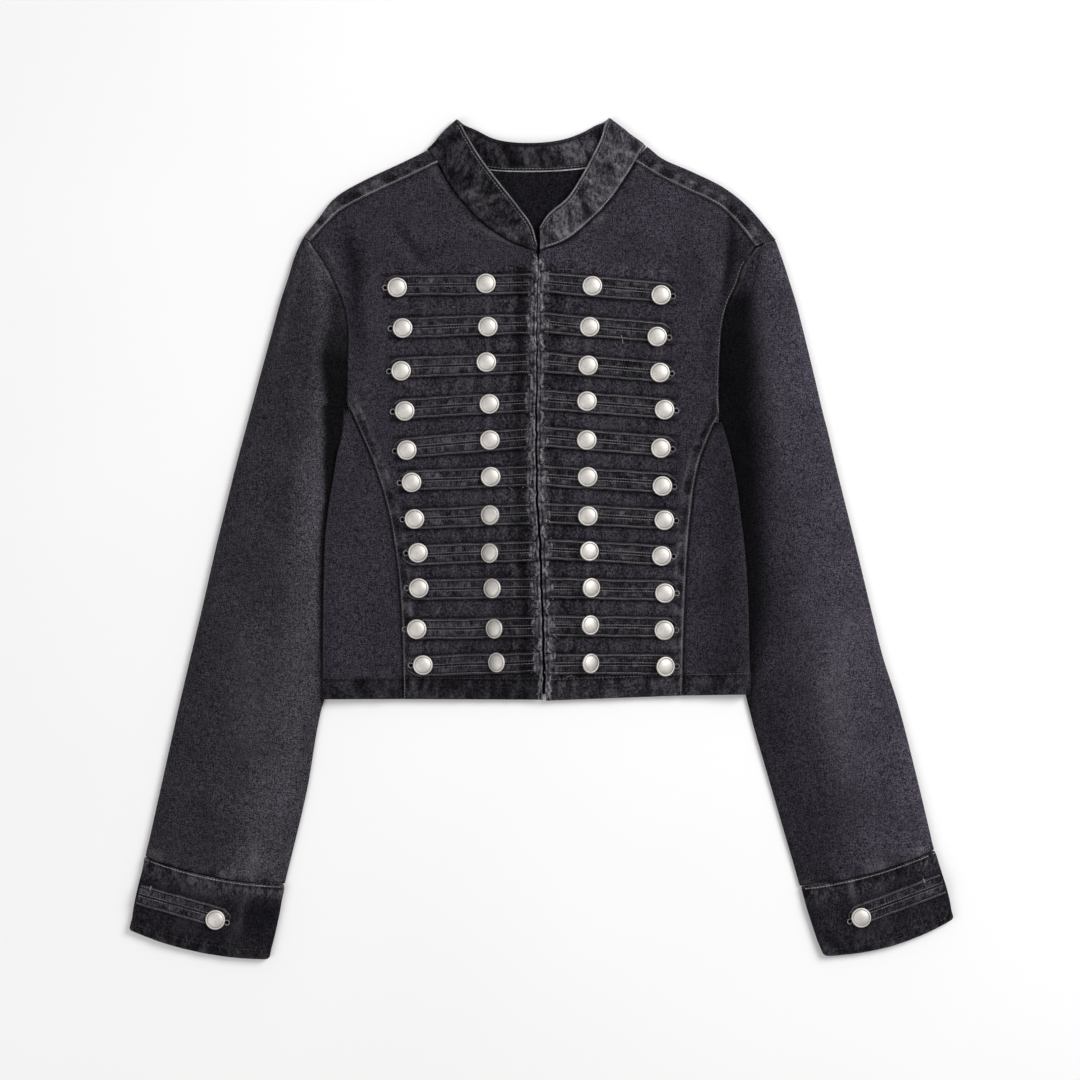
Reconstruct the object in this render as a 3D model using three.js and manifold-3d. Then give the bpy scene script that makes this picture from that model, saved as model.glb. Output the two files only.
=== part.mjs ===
// A cropped denim jacket with a stand collar, strap tabs and domed buttons, laid flat, front up.
// Millimetres. +X is the wearer's left, +Y runs from hem to collar, +Z is up from the surface.
// The origin is under the middle of the jacket, on the surface that it lies on.

import * as THREE from 'three';
import { mergeVertices } from 'three/addons/utils/BufferGeometryUtils.js';
import Module from 'manifold-3d';

const wasm = await Module();
wasm.setup();

// Driving dimensions
const CLOTH = 1.5;
const SEAM_GAP = 0.3;
const FRONT_TOP = 6.6;
const ARMHOLE_DIP = 1.2;
const SIDE_TOP = 9.0;
const SIDE_UNDERSIDE = 4.8;
const SIDE_TURN_UNDER = 36;
const SIDE_LIFT_START = 30;
const SIDE_LIFT_END = 12;
const SLEEVE_TOP = 6.9;
const SLEEVE_VALLEY = 4.4;
const COLLAR_WALL = 2.4;
const CUFF_TOP = 7.2;
const CUFF_WALL = 2.0;
const STRAP_WIDTH = 18.5;
const STRAP_THICK = 1.6;
const STRAP_POINT = 7;
const EDGE_STRIP_WIDTH = 9;
const TAB_WIDTH = 18.6;
const BUTTON_RADIUS = 8.5;
const BUTTON_SEGMENTS = 10;

// Reads rows of numbers as objects with the named columns.
function table(columns, rows) {
  const names = columns.split(' ');
  return rows.map((row) => Object.fromEntries(names.map((name, i) => [name, row[i]])));
}

// Each side of the jacket, from its own sizes: the cloth doesn't lie quite evenly.
// lower: front edge, princess seam and side fold, from the underarm down to the hem, and whether
// the side is lifted by the sleeve that lies under it.
// armhole: front edge, armhole seam and the sleeve's outer fold, from the underarm up.
// neck: neck seam, where the row ends near the shoulder tip, and the collar's top edge above it.
// sleeve: outer and inner fold below the underarm, and the bow.
// shoulder: the fold over the shoulder and the forward seam, from the neck to the armhole.
const SIDES = {
  right: {
    lower: table('edgeX edgeY princessX princessY foldX foldY lift', [
      [-6.5, 112, -165, 112, -171, 112, 0],
      [-6.5, 94, -157, 94, -172, 94, 0],
      [-6.4, 72, -147.5, 72, -176.5, 72, 1],
      [-6.2, 50, -139.5, 50, -180, 50, 1],
      [-5.8, 25, -132.5, 25, -184, 25, 1],
      [-4, 0, -127.7, 0, -186.5, 0, 1],
      [-2.3, -40, -122.8, -40, -187.8, -40, 1],
      [-0.5, -95, -120.1, -95, -188.5, -95, 1],
      [-0.4, -137.6, -119.5, -137, -188.5, -137, 1],
    ]),
    armhole: table('edgeX edgeY seamX seamY outerX outerY', [
      [-6.4, 117, -167.6, 117, -249.3, 117],
      [-6.2, 130, -167.6, 130, -245.8, 130],
      [-6, 155, -167.5, 155, -239, 155],
      [-5.5, 185, -167.5, 185, -230.8, 185],
      [-5.2, 208, -172.5, 208, -224.5, 208],
      [-5, 226, -180.5, 226, -218.5, 226],
      [-4.8, 242, -189.5, 242, -213, 244],
    ]),
    neck: table('neckX neckY endX endY collarX collarY', [
      [-5, 248, -193, 246.8, -4.2, 254],
      [-24.5, 254.7, -194.8, 249.2, -8, 268.5],
      [-48, 270, -196.2, 251.2, -19.8, 286],
      [-66, 287, -197.3, 252.9, -36, 306.5],
      [-80, 305, -198.1, 254.2, -52.5, 328.3],
      [-90, 323, -198.8, 255.4, -66, 350.5],
    ]),
    capTip: { x: -206.3, y: 259.2 },
    sleeve: table('outerX outerY innerX innerY bow', [
      [-250.6, 112.4, -171.7, 112.4, 0],
      [-255.5, 94, -172.9, 93, 0],
      [-262, 70, -177.6, 70, 0],
      [-270, 38, -174.2, 34, 0],
      [-280, -3, -178.8, -12, 0],
      [-292.5, -58, -180.3, -70, 0],
      [-303, -102, -182, -116, 0],
      [-311.5, -138, -191, -150, 1],
      [-326, -203, -203, -218, 3],
      [-341.3, -272, -221.6, -296, 5.5],
    ]),
    shoulder: table('foldX foldY seamX seamY', [
      [-101.5, 334, -90.5, 323.6],
      [-122, 324, -117, 311],
      [-153, 309.5, -147, 297],
      [-177.5, 295, -171, 284.5],
      [-192.6, 276.5, -184.5, 272.5],
      [-205.6, 260.8, -199, 256.6],
    ]),
    cuff: table('outerX outerY innerX innerY bow', [
      [-341.6, -273, -221.9, -297, 5.5],
      [-350, -308, -227.5, -330, 6],
      [-355, -335.6, -235, -360.8, 6.5],
    ]),
    tab: { outerX: -347, outerY: -304.8, tipX: -267, tipY: -327 },
    cuffButton: { x: -280.4, y: -326.2 },
    straps: table('edgeY tipX tipY outerX outerY innerX innerY outerTilt innerTilt', [
      [220, -137.3, 218.2, -124.4, 216.7, -48.2, 220.1, 0, 0],
      [185.5, -131.9, 182, -119.7, 181.8, -46.5, 183, 0, 0],
      [152.2, -133.9, 147.5, -121, 145.1, -47.8, 152.5, 0, 0],
      [118.5, -131, 112, -117.9, 110.6, -45.2, 116.6, 0, 0],
      [87.5, -128.7, 78.2, -116.1, 77, -44.8, 85.6, 0, 0],
      [54.8, -124.3, 50.5, -112, 49.3, -44.1, 54.1, 0, 0],
      [22.1, -121.5, 17.5, -109.5, 17.8, -44.1, 21.2, 0, -22],
      [-9.7, -121, -13.5, -106.5, -11.2, -44.3, -11.4, 0, -30],
      [-41.5, -118.6, -43, -105.8, -41.5, -42.1, -41.7, 0, -30],
      [-75, -118.2, -77.3, -107.6, -76.8, -40.3, -76.2, 0, -34],
      [-105, -117.2, -109, -102.3, -107.6, -38.3, -105.1, 0, -34],
    ]),
  },
  left: {
    lower: table('edgeX edgeY princessX princessY foldX foldY lift', [
      [-3, 101, 149, 101, 155, 101, 0],
      [-3, 90, 144, 90, 158.5, 90, 0],
      [-2.8, 72, 136.8, 72, 162.8, 72, 1],
      [-2.5, 50, 131.5, 50, 167, 50, 1],
      [-1.9, 25, 128.2, 25, 170.3, 25, 1],
      [0, 0, 125.8, 0, 173.5, 0, 1],
      [1.4, -40, 123.5, -40, 176.7, -40, 1],
      [3.4, -92, 121.5, -92, 178.2, -92, 1],
      [4, -138.4, 120.7, -134, 178.9, -133, 1],
    ]),
    armhole: table('edgeX edgeY seamX seamY outerX outerY', [
      [-3, 106, 152.4, 106, 242.8, 106],
      [-3, 120, 152.3, 120, 239.5, 120],
      [-3, 160, 153.4, 160, 230, 160],
      [-3, 185, 155.5, 185, 223.8, 185],
      [-2.8, 205, 160.5, 205, 218.7, 205],
      [-2.6, 220, 167.5, 220, 214, 220],
      [-2.5, 235, 172.6, 235, 209.3, 235],
    ]),
    neck: table('neckX neckY endX endY collarX collarY', [
      [-1.6, 248.5, 177.6, 243.6, -1.8, 269],
      [16.3, 254.7, 179.2, 245.6, 4.5, 279],
      [41.3, 273.3, 180.5, 247.2, 22, 294.5],
      [59.8, 292.5, 181.6, 248.7, 35.5, 315.5],
      [71.5, 309.5, 182.6, 250.1, 44.5, 332.5],
      [80.7, 324, 183.3, 251.3, 51.2, 347],
    ]),
    capTip: { x: 202, y: 256.4 },
    sleeve: table('outerX outerY innerX innerY bow', [
      [245.8, 95, 157.7, 95, 0],
      [251.6, 70, 163.9, 70, 0],
      [259.5, 38, 160.4, 34, 0],
      [270, -4, 166.2, -13, 0],
      [283, -58, 169.7, -70, 0],
      [294, -102, 172, -116, 0],
      [305.6, -138, 179.6, -150, 1],
      [322, -201, 198, -215, 3],
      [337.6, -266.4, 222.2, -298, 5],
    ]),
    shoulder: table('foldX foldY seamX seamY', [
      [92, 337.5, 81.3, 324.4],
      [105, 327.5, 100, 313],
      [129, 317, 122, 302],
      [157, 303, 151, 288],
      [179.5, 284.5, 167.5, 273],
      [201.2, 258.4, 183.6, 252.6],
    ]),
    cuff: table('outerX outerY innerX innerY bow', [
      [338, -267.4, 222.5, -299, 5],
      [349.5, -302, 232, -330, 7],
      [354.9, -325.6, 242.1, -358, 8],
    ]),
    tab: { outerX: 345, outerY: -295.4, tipX: 263, tipY: -326 },
    cuffButton: { x: 274, y: -324.4 },
    straps: table('edgeY tipX tipY outerX outerY innerX innerY outerTilt innerTilt', [
      [221.5, 116.1, 211.4, 102.3, 210.2, 43.2, 218, 0, 0],
      [186.7, 112.7, 177.2, 98.9, 174.5, 40.9, 182.8, 0, 0],
      [152.4, 114.3, 143.2, 101.3, 143.6, 39.6, 149.7, 0, 0],
      [120.5, 117.6, 112.1, 105.2, 111.7, 38.6, 119, 0, 0],
      [88.6, 117, 80, 102, 78.7, 38.4, 85.6, 0, 0],
      [55, 116.8, 48.2, 103.3, 46.1, 39.2, 54, 0, 0],
      [22.7, 117.6, 17.4, 105, 16.8, 39.4, 20.4, 0, 0],
      [-8.2, 115.2, -13.5, 102.8, -13.9, 40.3, -9.8, 0, 18],
      [-41.4, 117.2, -43.8, 105.5, -45.8, 41.6, -41.2, 0, 28],
      [-73.9, 117, -75.5, 105, -77.6, 40.9, -73.1, 0, 28],
      [-106.8, 116.4, -107.5, 105.5, -108.7, 41.1, -105.9, 20, 34],
    ]),
  },
};

// The collar behind the shoulders, from the wearer's right fold round the back to the left fold:
// its seam and its top edge, each with its height.
const COLLAR_BACK = table('seamX seamY seamZ topX topY topZ', [
  [-95.8, 332, 6.6, -69.8, 357.5, 7.3],
  [-98.6, 335.2, 4.6, -72.6, 361.6, 4.8],
  [-94.5, 332.5, 2.2, -68.5, 358.6, 2.4],
  [-75, 327, 1.3, -57, 353, 2.8],
  [-45.6, 320, 1.2, -40.4, 345, 4.4],
  [-9.5, 318.3, 1.2, -10, 341.3, 6.4],
  [20, 319.4, 1.2, 18, 344.4, 5.6],
  [44, 322.4, 1.2, 34.5, 350.5, 3.6],
  [68, 329.5, 1.3, 46.5, 357, 2.8],
  [85.8, 335, 2.2, 54, 360.2, 2.4],
  [89.3, 338, 4.6, 57.4, 362.7, 4.8],
  [86, 334.4, 6.6, 54.4, 358, 7.3],
]);

// Materials
function cloth(color) {
  return new THREE.MeshStandardMaterial({ color, roughness: 0.93, metalness: 0 });
}
const DENIM = cloth(0x343138);
const WASHED_DENIM = cloth(0x4c4850);
const SILVER = new THREE.MeshStandardMaterial({ color: 0xb9b9b6, roughness: 0.38, metalness: 0.9 });

const jacket = new THREE.Group();

function addPiece(name, geometry, material) {
  const mesh = new THREE.Mesh(geometry, material);
  mesh.name = name;
  jacket.add(mesh);
  return mesh;
}

// Mesh helpers
function point(x, y, z = 0) {
  return new THREE.Vector3(x, y, z);
}

function mix(a, b, t) {
  return a + (b - a) * t;
}

// A point at fraction t of the way from one plan point to another, pulled in at either end.
function between(from, to, t, trimFrom = 0, trimTo = 0) {
  const span = to.clone().sub(from);
  const along = mix(trimFrom, span.length() - trimTo, t);
  return from.clone().addScaledVector(span.normalize(), along);
}

function signedVolume(positions, triangles) {
  let volume = 0;
  for (const [a, b, c] of triangles) {
    volume += positions[a].dot(positions[b].clone().cross(positions[c])) / 6;
  }
  return volume;
}

function bodyFrom(positions, triangles) {
  const outward = signedVolume(positions, triangles) > 0;
  const index = triangles.flatMap(([a, b, c]) => (outward ? [a, b, c] : [a, c, b]));
  const geometry = new THREE.BufferGeometry();
  geometry.setAttribute(
    'position',
    new THREE.Float32BufferAttribute(positions.flatMap((p) => [p.x, p.y, p.z]), 3),
  );
  geometry.setIndex(index);
  geometry.computeVertexNormals();
  return geometry;
}

// The normals of a grid of points, all on the side that flip chooses.
function gridNormals(grid, flip) {
  const last = grid.length - 1;
  return grid.map((row, i) => row.map((_, j) => {
    const along = grid[Math.min(i + 1, last)][j].clone().sub(grid[Math.max(i - 1, 0)][j]);
    const across = row[Math.min(j + 1, row.length - 1)].clone().sub(row[Math.max(j - 1, 0)]);
    return along.cross(across).normalize().multiplyScalar(flip ? -1 : 1);
  }));
}

// A cloth wall: the grid is its outer face, and the inner face lies one thickness behind it.
function clothWall(grid, thickness, flip) {
  const normals = gridNormals(grid, flip);
  const rows = grid.length;
  const columns = grid[0].length;
  const outer = grid.flat();
  const inner = grid.flatMap((row, i) => row.map((p, j) => (
    p.clone().addScaledVector(normals[i][j], -thickness))));
  const triangles = [];
  const at = (i, j) => i * columns + j;
  const back = rows * columns;
  for (let i = 0; i + 1 < rows; i += 1) {
    for (let j = 0; j + 1 < columns; j += 1) {
      const [a, b, c, d] = [at(i, j), at(i, j + 1), at(i + 1, j + 1), at(i + 1, j)];
      triangles.push([a, b, c], [a, c, d]);
      triangles.push([a + back, c + back, b + back], [a + back, d + back, c + back]);
    }
  }
  const rim = [];
  for (let j = 0; j + 1 < columns; j += 1) rim.push([at(0, j), at(0, j + 1)]);
  for (let i = 0; i + 1 < rows; i += 1) rim.push([at(i, columns - 1), at(i + 1, columns - 1)]);
  for (let j = columns - 1; j > 0; j -= 1) rim.push([at(rows - 1, j), at(rows - 1, j - 1)]);
  for (let i = rows - 1; i > 0; i -= 1) rim.push([at(i, 0), at(i - 1, 0)]);
  for (const [a, b] of rim) triangles.push([b, a, a + back], [b, a + back, b + back]);
  return bodyFrom([...outer, ...inner], triangles);
}

// A plate with the given outline, from one height to another.
function plate(outline, low, high) {
  const shape = new THREE.Shape(outline.map((p) => new THREE.Vector2(p.x, p.y)));
  const geometry = new THREE.ExtrudeGeometry(shape, { depth: high - low, bevelEnabled: false });
  return geometry.translate(0, 0, low);
}

function toSolid(geometry) {
  const bare = geometry.clone();
  bare.deleteAttribute('normal');
  bare.deleteAttribute('uv');
  const merged = mergeVertices(bare, 1e-4);
  return new wasm.Manifold(new wasm.Mesh({
    numProp: 3,
    vertProperties: new Float32Array(merged.attributes.position.array),
    triVerts: new Uint32Array(merged.index.array),
  }));
}

function fromSolid(solid) {
  const mesh = solid.getMesh();
  const geometry = new THREE.BufferGeometry();
  geometry.setAttribute('position', new THREE.BufferAttribute(mesh.vertProperties, 3));
  geometry.setIndex(new THREE.BufferAttribute(mesh.triVerts, 1));
  geometry.computeVertexNormals();
  return geometry;
}

function join(geometries) {
  return fromSolid(geometries.map(toSolid).reduce((sum, next) => sum.add(next)));
}

// Places along a row, as shares of its length: the panel's columns.
const FRONT_COLUMNS = [0, 0.25, 0.5, 0.72, 0.87, 1];
const half = SEAM_GAP / 2;

// The forward shoulder seam at share t of its length from the neck.
function shoulderAt(side, t, nameX, nameY) {
  const rows = SIDES[side].shoulder;
  const place = t * (rows.length - 1);
  const first = Math.min(Math.floor(place), rows.length - 2);
  const [a, b] = [rows[first], rows[first + 1]];
  return point(mix(a[nameX], b[nameX], place - first), mix(a[nameY], b[nameY], place - first));
}

// Front panel: rows from hem to underarm, up the armhole, and fanned from the neck to the shoulder.
function frontPanel(side) {
  const { lower, armhole, neck } = SIDES[side];
  const top = neck[neck.length - 1];
  const rows = [];
  const addRow = (inner, outer, dip, shoulderShare = 0) => {
    rows.push(FRONT_COLUMNS.map((t) => {
      const seam = shoulderAt(side, t, 'seamX', 'seamY');
      const fold = shoulderAt(side, t, 'foldX', 'foldY');
      const inset = seam.clone().addScaledVector(seam.clone().sub(fold).normalize(), SEAM_GAP);
      const straightTop = between(point(top.neckX, top.neckY), point(top.endX, top.endY), t, half, half);
      const p = between(inner, outer, t, half, half);
      p.addScaledVector(inset.sub(straightTop), shoulderShare);
      p.z = FRONT_TOP - dip * Math.max(0, (t - 0.72) / 0.28);
      return p;
    }));
  };
  for (const r of [...lower].reverse()) {
    addRow(point(r.edgeX, r.edgeY), point(r.princessX, r.princessY), 0);
  }
  for (const r of armhole) {
    addRow(point(r.edgeX, r.edgeY), point(r.seamX, r.seamY), ARMHOLE_DIP);
  }
  neck.forEach((r, i) => {
    const share = i / (neck.length - 1);
    addRow(point(r.neckX, r.neckY), point(r.endX, r.endY), ARMHOLE_DIP * (1 - share), share ** 2);
  });
  return clothWall(rows, CLOTH, side === 'left');
}

// Side panel: from the princess seam over the side fold and back under to the side seam.
function sidePanel(side) {
  const inward = side === 'left' ? -1 : 1;
  const rows = SIDES[side].lower.map((r) => {
    const high = mix(FRONT_TOP, SIDE_TOP, r.lift);
    const low = SIDE_UNDERSIDE * r.lift;
    const radius = (high - low) / 2;
    const middle = (high + low) / 2;
    const fold = point(r.foldX, r.foldY);
    const inFrom = (distance, z) => point(fold.x + inward * distance, fold.y, z);
    const princess = point(r.princessX - inward * half, r.princessY, FRONT_TOP);
    const turnX = fold.x + inward * radius;
    const shoulderX = mix(princess.x, turnX, 0.6);
    const shoulderY = mix(princess.y, fold.y, 0.6);
    const row = [princess, point(shoulderX, shoulderY, mix(FRONT_TOP, high, 0.85))];
    for (const degrees of [90, 45, 0, -45, -90]) {
      const angle = THREE.MathUtils.degToRad(degrees);
      row.push(inFrom(radius - radius * Math.cos(angle), middle + radius * Math.sin(angle)));
    }
    row.push(inFrom(SIDE_LIFT_END, low), inFrom(SIDE_LIFT_START, 0));
    row.push(inFrom(SIDE_TURN_UNDER, 0));
    return row;
  });
  rows[0] = rows[0].map((p) => p.clone().setY(p.y - half));
  return clothWall(rows, CLOTH, side === 'right');
}

// The part of the back that folds over a shoulder, down to the forward seam.
function shoulderWrap(side) {
  const radius = FRONT_TOP / 2;
  const rows = FRONT_COLUMNS.map((t) => {
    const fold = shoulderAt(side, t, 'foldX', 'foldY');
    const seam = shoulderAt(side, t, 'seamX', 'seamY');
    const inward = seam.clone().sub(fold).normalize();
    const inFrom = (distance, z) => fold.clone().addScaledVector(inward, distance).setZ(z);
    const row = [inFrom(radius + 6, 0)];
    for (const degrees of [-90, -45, 0, 45, 90]) {
      const angle = THREE.MathUtils.degToRad(degrees);
      row.push(inFrom(radius - radius * Math.cos(angle), radius + radius * Math.sin(angle)));
    }
    row.push(seam.setZ(FRONT_TOP));
    return row;
  });
  return clothWall(rows, CLOTH, side === 'left');
}

// The outline of one half of the back where it lies flat, from the hem's middle to the neck's.
function backOutline(side) {
  const inward = side === 'left' ? -1 : 1;
  const { lower, armhole, neck } = SIDES[side];
  const seamX = (r) => r.foldX + inward * (SIDE_TURN_UNDER + SEAM_GAP);
  const outline = [...lower].reverse().map((r) => point(seamX(r), r.foldY));
  const top = lower[0];
  outline[outline.length - 1].y = top.foldY + SEAM_GAP;
  outline.push(point(armhole[0].seamX + inward, top.foldY + SEAM_GAP));
  outline.push(...armhole.map((r) => point(r.seamX + inward, r.seamY)));
  const corner = neck[neck.length - 1];
  outline.push(point(corner.endX + inward, corner.endY));
  for (const t of [...FRONT_COLUMNS].reverse()) {
    const fold = shoulderAt(side, t, 'foldX', 'foldY');
    const seam = shoulderAt(side, t, 'seamX', 'seamY');
    outline.push(fold.addScaledVector(seam.sub(fold).normalize(), FRONT_TOP / 2 + 1));
  }
  return outline;
}

function backPanel() {
  const neck = COLLAR_BACK.slice(3, -3).map((r) => point(r.seamX, r.seamY - COLLAR_WALL / 2));
  const outline = [...backOutline('right'), ...neck, ...backOutline('left').reverse()];
  return join([plate(outline, 0, CLOTH), shoulderWrap('right'), shoulderWrap('left')]);
}

// Collar: one band, sewn round the neck, folded over at both shoulders.
function collar() {
  const middle = FRONT_TOP - CLOTH / 2;
  const lean = 1.9;
  const frontRows = (side) => SIDES[side].neck.map((r) => {
    const seam = point(r.neckX, r.neckY, middle);
    const top = point(r.collarX, r.collarY, middle + lean);
    return { seam: between(seam, top, 0, SEAM_GAP + 0.3), top };
  });
  const backRows = COLLAR_BACK.map((r) => {
    const seam = point(r.seamX, r.seamY, r.seamZ);
    return { seam, top: point(r.topX, r.topY, r.topZ) };
  });
  const bands = [...frontRows('right'), ...backRows, ...frontRows('left').reverse()];
  const middleGrid = bands.map(({ seam, top }) => [0, 0.5, 1].map((t) => seam.clone().lerp(top, t)));
  const normals = gridNormals(middleGrid, false);
  const outer = middleGrid.map((row, i) => row.map((p, j) => (
    p.clone().addScaledVector(normals[i][j], COLLAR_WALL / 2))));
  return clothWall(outer, COLLAR_WALL, false);
}

// One section of the sleeve: over the top from the inner seam, round the outer fold and back under.
function sleeveSection(outer, inner, isCap, bow, innerTop) {
  const width = outer.distanceTo(inner);
  const sag = inner.clone().sub(outer).cross(point(0, 0, 1)).normalize();
  if (sag.y > 0) sag.negate();
  const at = (distance, z) => {
    const t = distance / width;
    return between(outer, inner, t).addScaledVector(sag, 4 * bow * t * (1 - t)).setZ(z);
  };
  const innerRadius = SLEEVE_VALLEY / 2;
  const outerRadius = FRONT_TOP / 2;
  const innerArc = (degrees, seamZ) => {
    const angle = THREE.MathUtils.degToRad(degrees);
    const z = innerRadius + innerRadius * Math.sin(angle);
    return at(width - innerRadius + innerRadius * Math.cos(angle), isCap ? seamZ : z);
  };
  const crown = Math.min(SLEEVE_TOP, FRONT_TOP + width / 200);
  const valley = isCap ? innerTop : SLEEVE_VALLEY;
  const row = [innerArc(5, innerTop), innerArc(40, innerTop), innerArc(90, innerTop)];
  row.push(at(Math.max(width - 12, width * 0.7), valley), at(Math.max(width - 32, width * 0.55), crown));
  for (const degrees of [90, 45, 0, -45, -90]) {
    const angle = THREE.MathUtils.degToRad(degrees);
    const z = outerRadius + outerRadius * Math.sin(angle);
    row.push(at(outerRadius - outerRadius * Math.cos(angle), z));
  }
  row.push(at(width * 0.55, 0), innerArc(-90, 0), innerArc(-40, 0), innerArc(-5, 0));
  return row;
}

function sleeve(side) {
  const { armhole, capTip, neck } = SIDES[side];
  const corner = neck[neck.length - 1];
  const outward = side === 'left' ? 1 : -1;
  const tip = { outerX: capTip.x, outerY: capTip.y, seamX: corner.endX, seamY: corner.endY };
  tip.seamX += outward * 0.5;
  tip.seamY -= 1.2;
  const capRows = [tip, ...[...armhole].reverse()].map((r, i) => sleeveSection(
    point(r.outerX, r.outerY),
    point(r.seamX + outward * SEAM_GAP, r.seamY),
    true,
    0,
    FRONT_TOP - (i === 0 ? 0 : ARMHOLE_DIP),
  ));
  const armRows = SIDES[side].sleeve.map((r) => sleeveSection(
    point(r.outerX, r.outerY),
    point(r.innerX, r.innerY),
    false,
    r.bow,
    SLEEVE_VALLEY,
  ));
  return clothWall([...capRows, ...armRows], CLOTH, side === 'right');
}

// Cuff: a flattened tube of double cloth, open at both ends.
function cuff(side) {
  const ring = (r, inset) => {
    const outer = point(r.outerX, r.outerY);
    const inner = point(r.innerX, r.innerY);
    const width = outer.distanceTo(inner);
    const sag = inner.clone().sub(outer).cross(point(0, 0, 1)).normalize();
    if (sag.y > 0) sag.negate();
    const at = (distance, z) => {
      const t = distance / width;
      return between(outer, inner, t).addScaledVector(sag, 4 * r.bow * t * (1 - t)).setZ(z);
    };
    const radius = CUFF_TOP / 2;
    const small = radius - inset;
    const arc = (centre, degrees) => {
      const angle = THREE.MathUtils.degToRad(degrees);
      return at(centre + small * Math.cos(angle), radius + small * Math.sin(angle));
    };
    const far = width - radius;
    return [
      ...[90, 135, 180, 225, 270].map((degrees) => arc(radius, degrees)),
      ...[0.33, 0.67].map((t) => at(mix(radius, far, t), inset)),
      ...[-90, -45, 0, 45, 90].map((degrees) => arc(far, degrees)),
      ...[0.67, 0.33].map((t) => at(mix(radius, far, t), CUFF_TOP - inset)),
    ];
  };
  const rows = SIDES[side].cuff;
  const outer = rows.map((r) => ring(r, 0));
  const inner = rows.map((r) => ring(r, CUFF_WALL));
  const count = outer[0].length;
  const positions = [...outer.flat(), ...inner.flat()];
  const back = rows.length * count;
  const triangles = [];
  const quad = (a, b, c, d) => triangles.push([a, b, c], [a, c, d]);
  for (let j = 0; j < count; j += 1) {
    const next = (j + 1) % count;
    for (let i = 0; i + 1 < rows.length; i += 1) {
      const [a, b, c, d] = [i * count + j, i * count + next, (i + 1) * count + next, (i + 1) * count + j];
      quad(a, b, c, d);
      quad(a + back, d + back, c + back, b + back);
    }
    const end = (rows.length - 1) * count;
    quad(next, j, j + back, next + back);
    quad(end + j, end + next, end + next + back, end + j + back);
  }
  return bodyFrom(positions, triangles);
}

// A strip with a pointed far end, lying on the cloth at the given height.
function pointedStrip(from, tip, width, low, high, angleSquare) {
  const along = tip.clone().sub(from).normalize();
  const across = angleSquare ? point(-along.y, along.x) : point(0, 1);
  const corner = (base, back, side) => (
    base.clone().addScaledVector(along, -back).addScaledVector(across, side * width));
  const outline = [
    corner(from, 0, -0.5), corner(tip, STRAP_POINT, -0.5), corner(tip, 1, -0.2),
    corner(tip, 1, 0.2), corner(tip, STRAP_POINT, 0.5), corner(from, 0, 0.5),
  ];
  return plate(outline, low, high);
}

function cuffTab(side) {
  const { outerX, outerY, tipX, tipY } = SIDES[side].tab;
  const low = CUFF_TOP + SEAM_GAP;
  return pointedStrip(point(outerX, outerY), point(tipX, tipY), TAB_WIDTH, low, low + STRAP_THICK, true);
}

// The straps of one front, joined by the strip that runs down its edge.
function strapComb(side) {
  const { straps, lower, armhole } = SIDES[side];
  const outward = side === 'left' ? 1 : -1;
  const low = FRONT_TOP + SEAM_GAP;
  const stations = [...[...lower].reverse().filter((_, i) => i % 2 === 0), armhole[armhole.length - 1]];
  const edge = stations.map((r) => point(r.edgeX + outward * 0.5, r.edgeY));
  const far = [...edge].reverse().map((p) => point(p.x + outward * EDGE_STRIP_WIDTH, p.y));
  const strip = plate([...edge, ...far], low, low + STRAP_THICK);
  const bands = straps.map((r) => pointedStrip(
    point(outward * EDGE_STRIP_WIDTH * 0.5, r.edgeY),
    point(r.tipX, r.tipY),
    STRAP_WIDTH,
    low,
    low + STRAP_THICK,
    false,
  ));
  return join([strip, ...bands]);
}

// A domed button with a raised rim, seen from above. Its base is at height 0.
function buttonGeometry() {
  const profile = [
    [0, 0], [BUTTON_RADIUS - 0.5, 0], [BUTTON_RADIUS, 1.6], [BUTTON_RADIUS - 1.6, 2.4], [0, 4.2],
  ];
  const lathe = new THREE.LatheGeometry(
    profile.map(([r, z]) => new THREE.Vector2(r, z)),
    BUTTON_SEGMENTS,
  );
  return lathe.rotateX(Math.PI / 2);
}

// A button at a place on the cloth. Tilted on its shank, it is lifted until its rim is clear.
function addButton(name, x, y, low, tilt) {
  const angle = THREE.MathUtils.degToRad(tilt);
  const mesh = addPiece(name, buttonGeometry(), SILVER);
  mesh.position.set(x, y, low + SEAM_GAP + Math.abs(Math.sin(angle)) * BUTTON_RADIUS);
  mesh.rotation.y = angle;
}

// The jacket
addPiece('back', backPanel(), DENIM);
addPiece('collar', collar(), WASHED_DENIM);
for (const side of ['right', 'left']) {
  addPiece(`front_${side}`, frontPanel(side), DENIM);
  addPiece(`side_${side}`, sidePanel(side), DENIM);
  addPiece(`sleeve_${side}`, sleeve(side), DENIM);
  addPiece(`cuff_${side}`, cuff(side), WASHED_DENIM);
  addPiece(`cuff_tab_${side}`, cuffTab(side), WASHED_DENIM);
  addPiece(`straps_${side}`, strapComb(side), WASHED_DENIM);
  const strapTop = FRONT_TOP + SEAM_GAP + STRAP_THICK;
  SIDES[side].straps.forEach((r, i) => {
    const number = String(i + 1).padStart(2, '0');
    addButton(`button_${side}_outer_${number}`, r.outerX, r.outerY, strapTop, r.outerTilt);
    addButton(`button_${side}_inner_${number}`, r.innerX, r.innerY, strapTop, r.innerTilt);
  });
  const { x, y } = SIDES[side].cuffButton;
  addButton(`button_${side}_cuff`, x, y, CUFF_TOP + SEAM_GAP + STRAP_THICK, 0);
}

export default jacket;
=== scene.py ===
# A cropped denim jacket laid flat: cloth shells, seams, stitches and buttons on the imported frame.
# Sizes are millimetres until a mesh is made. +X is the wearer's left, +Y runs from hem to collar.
import collections
import math

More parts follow.
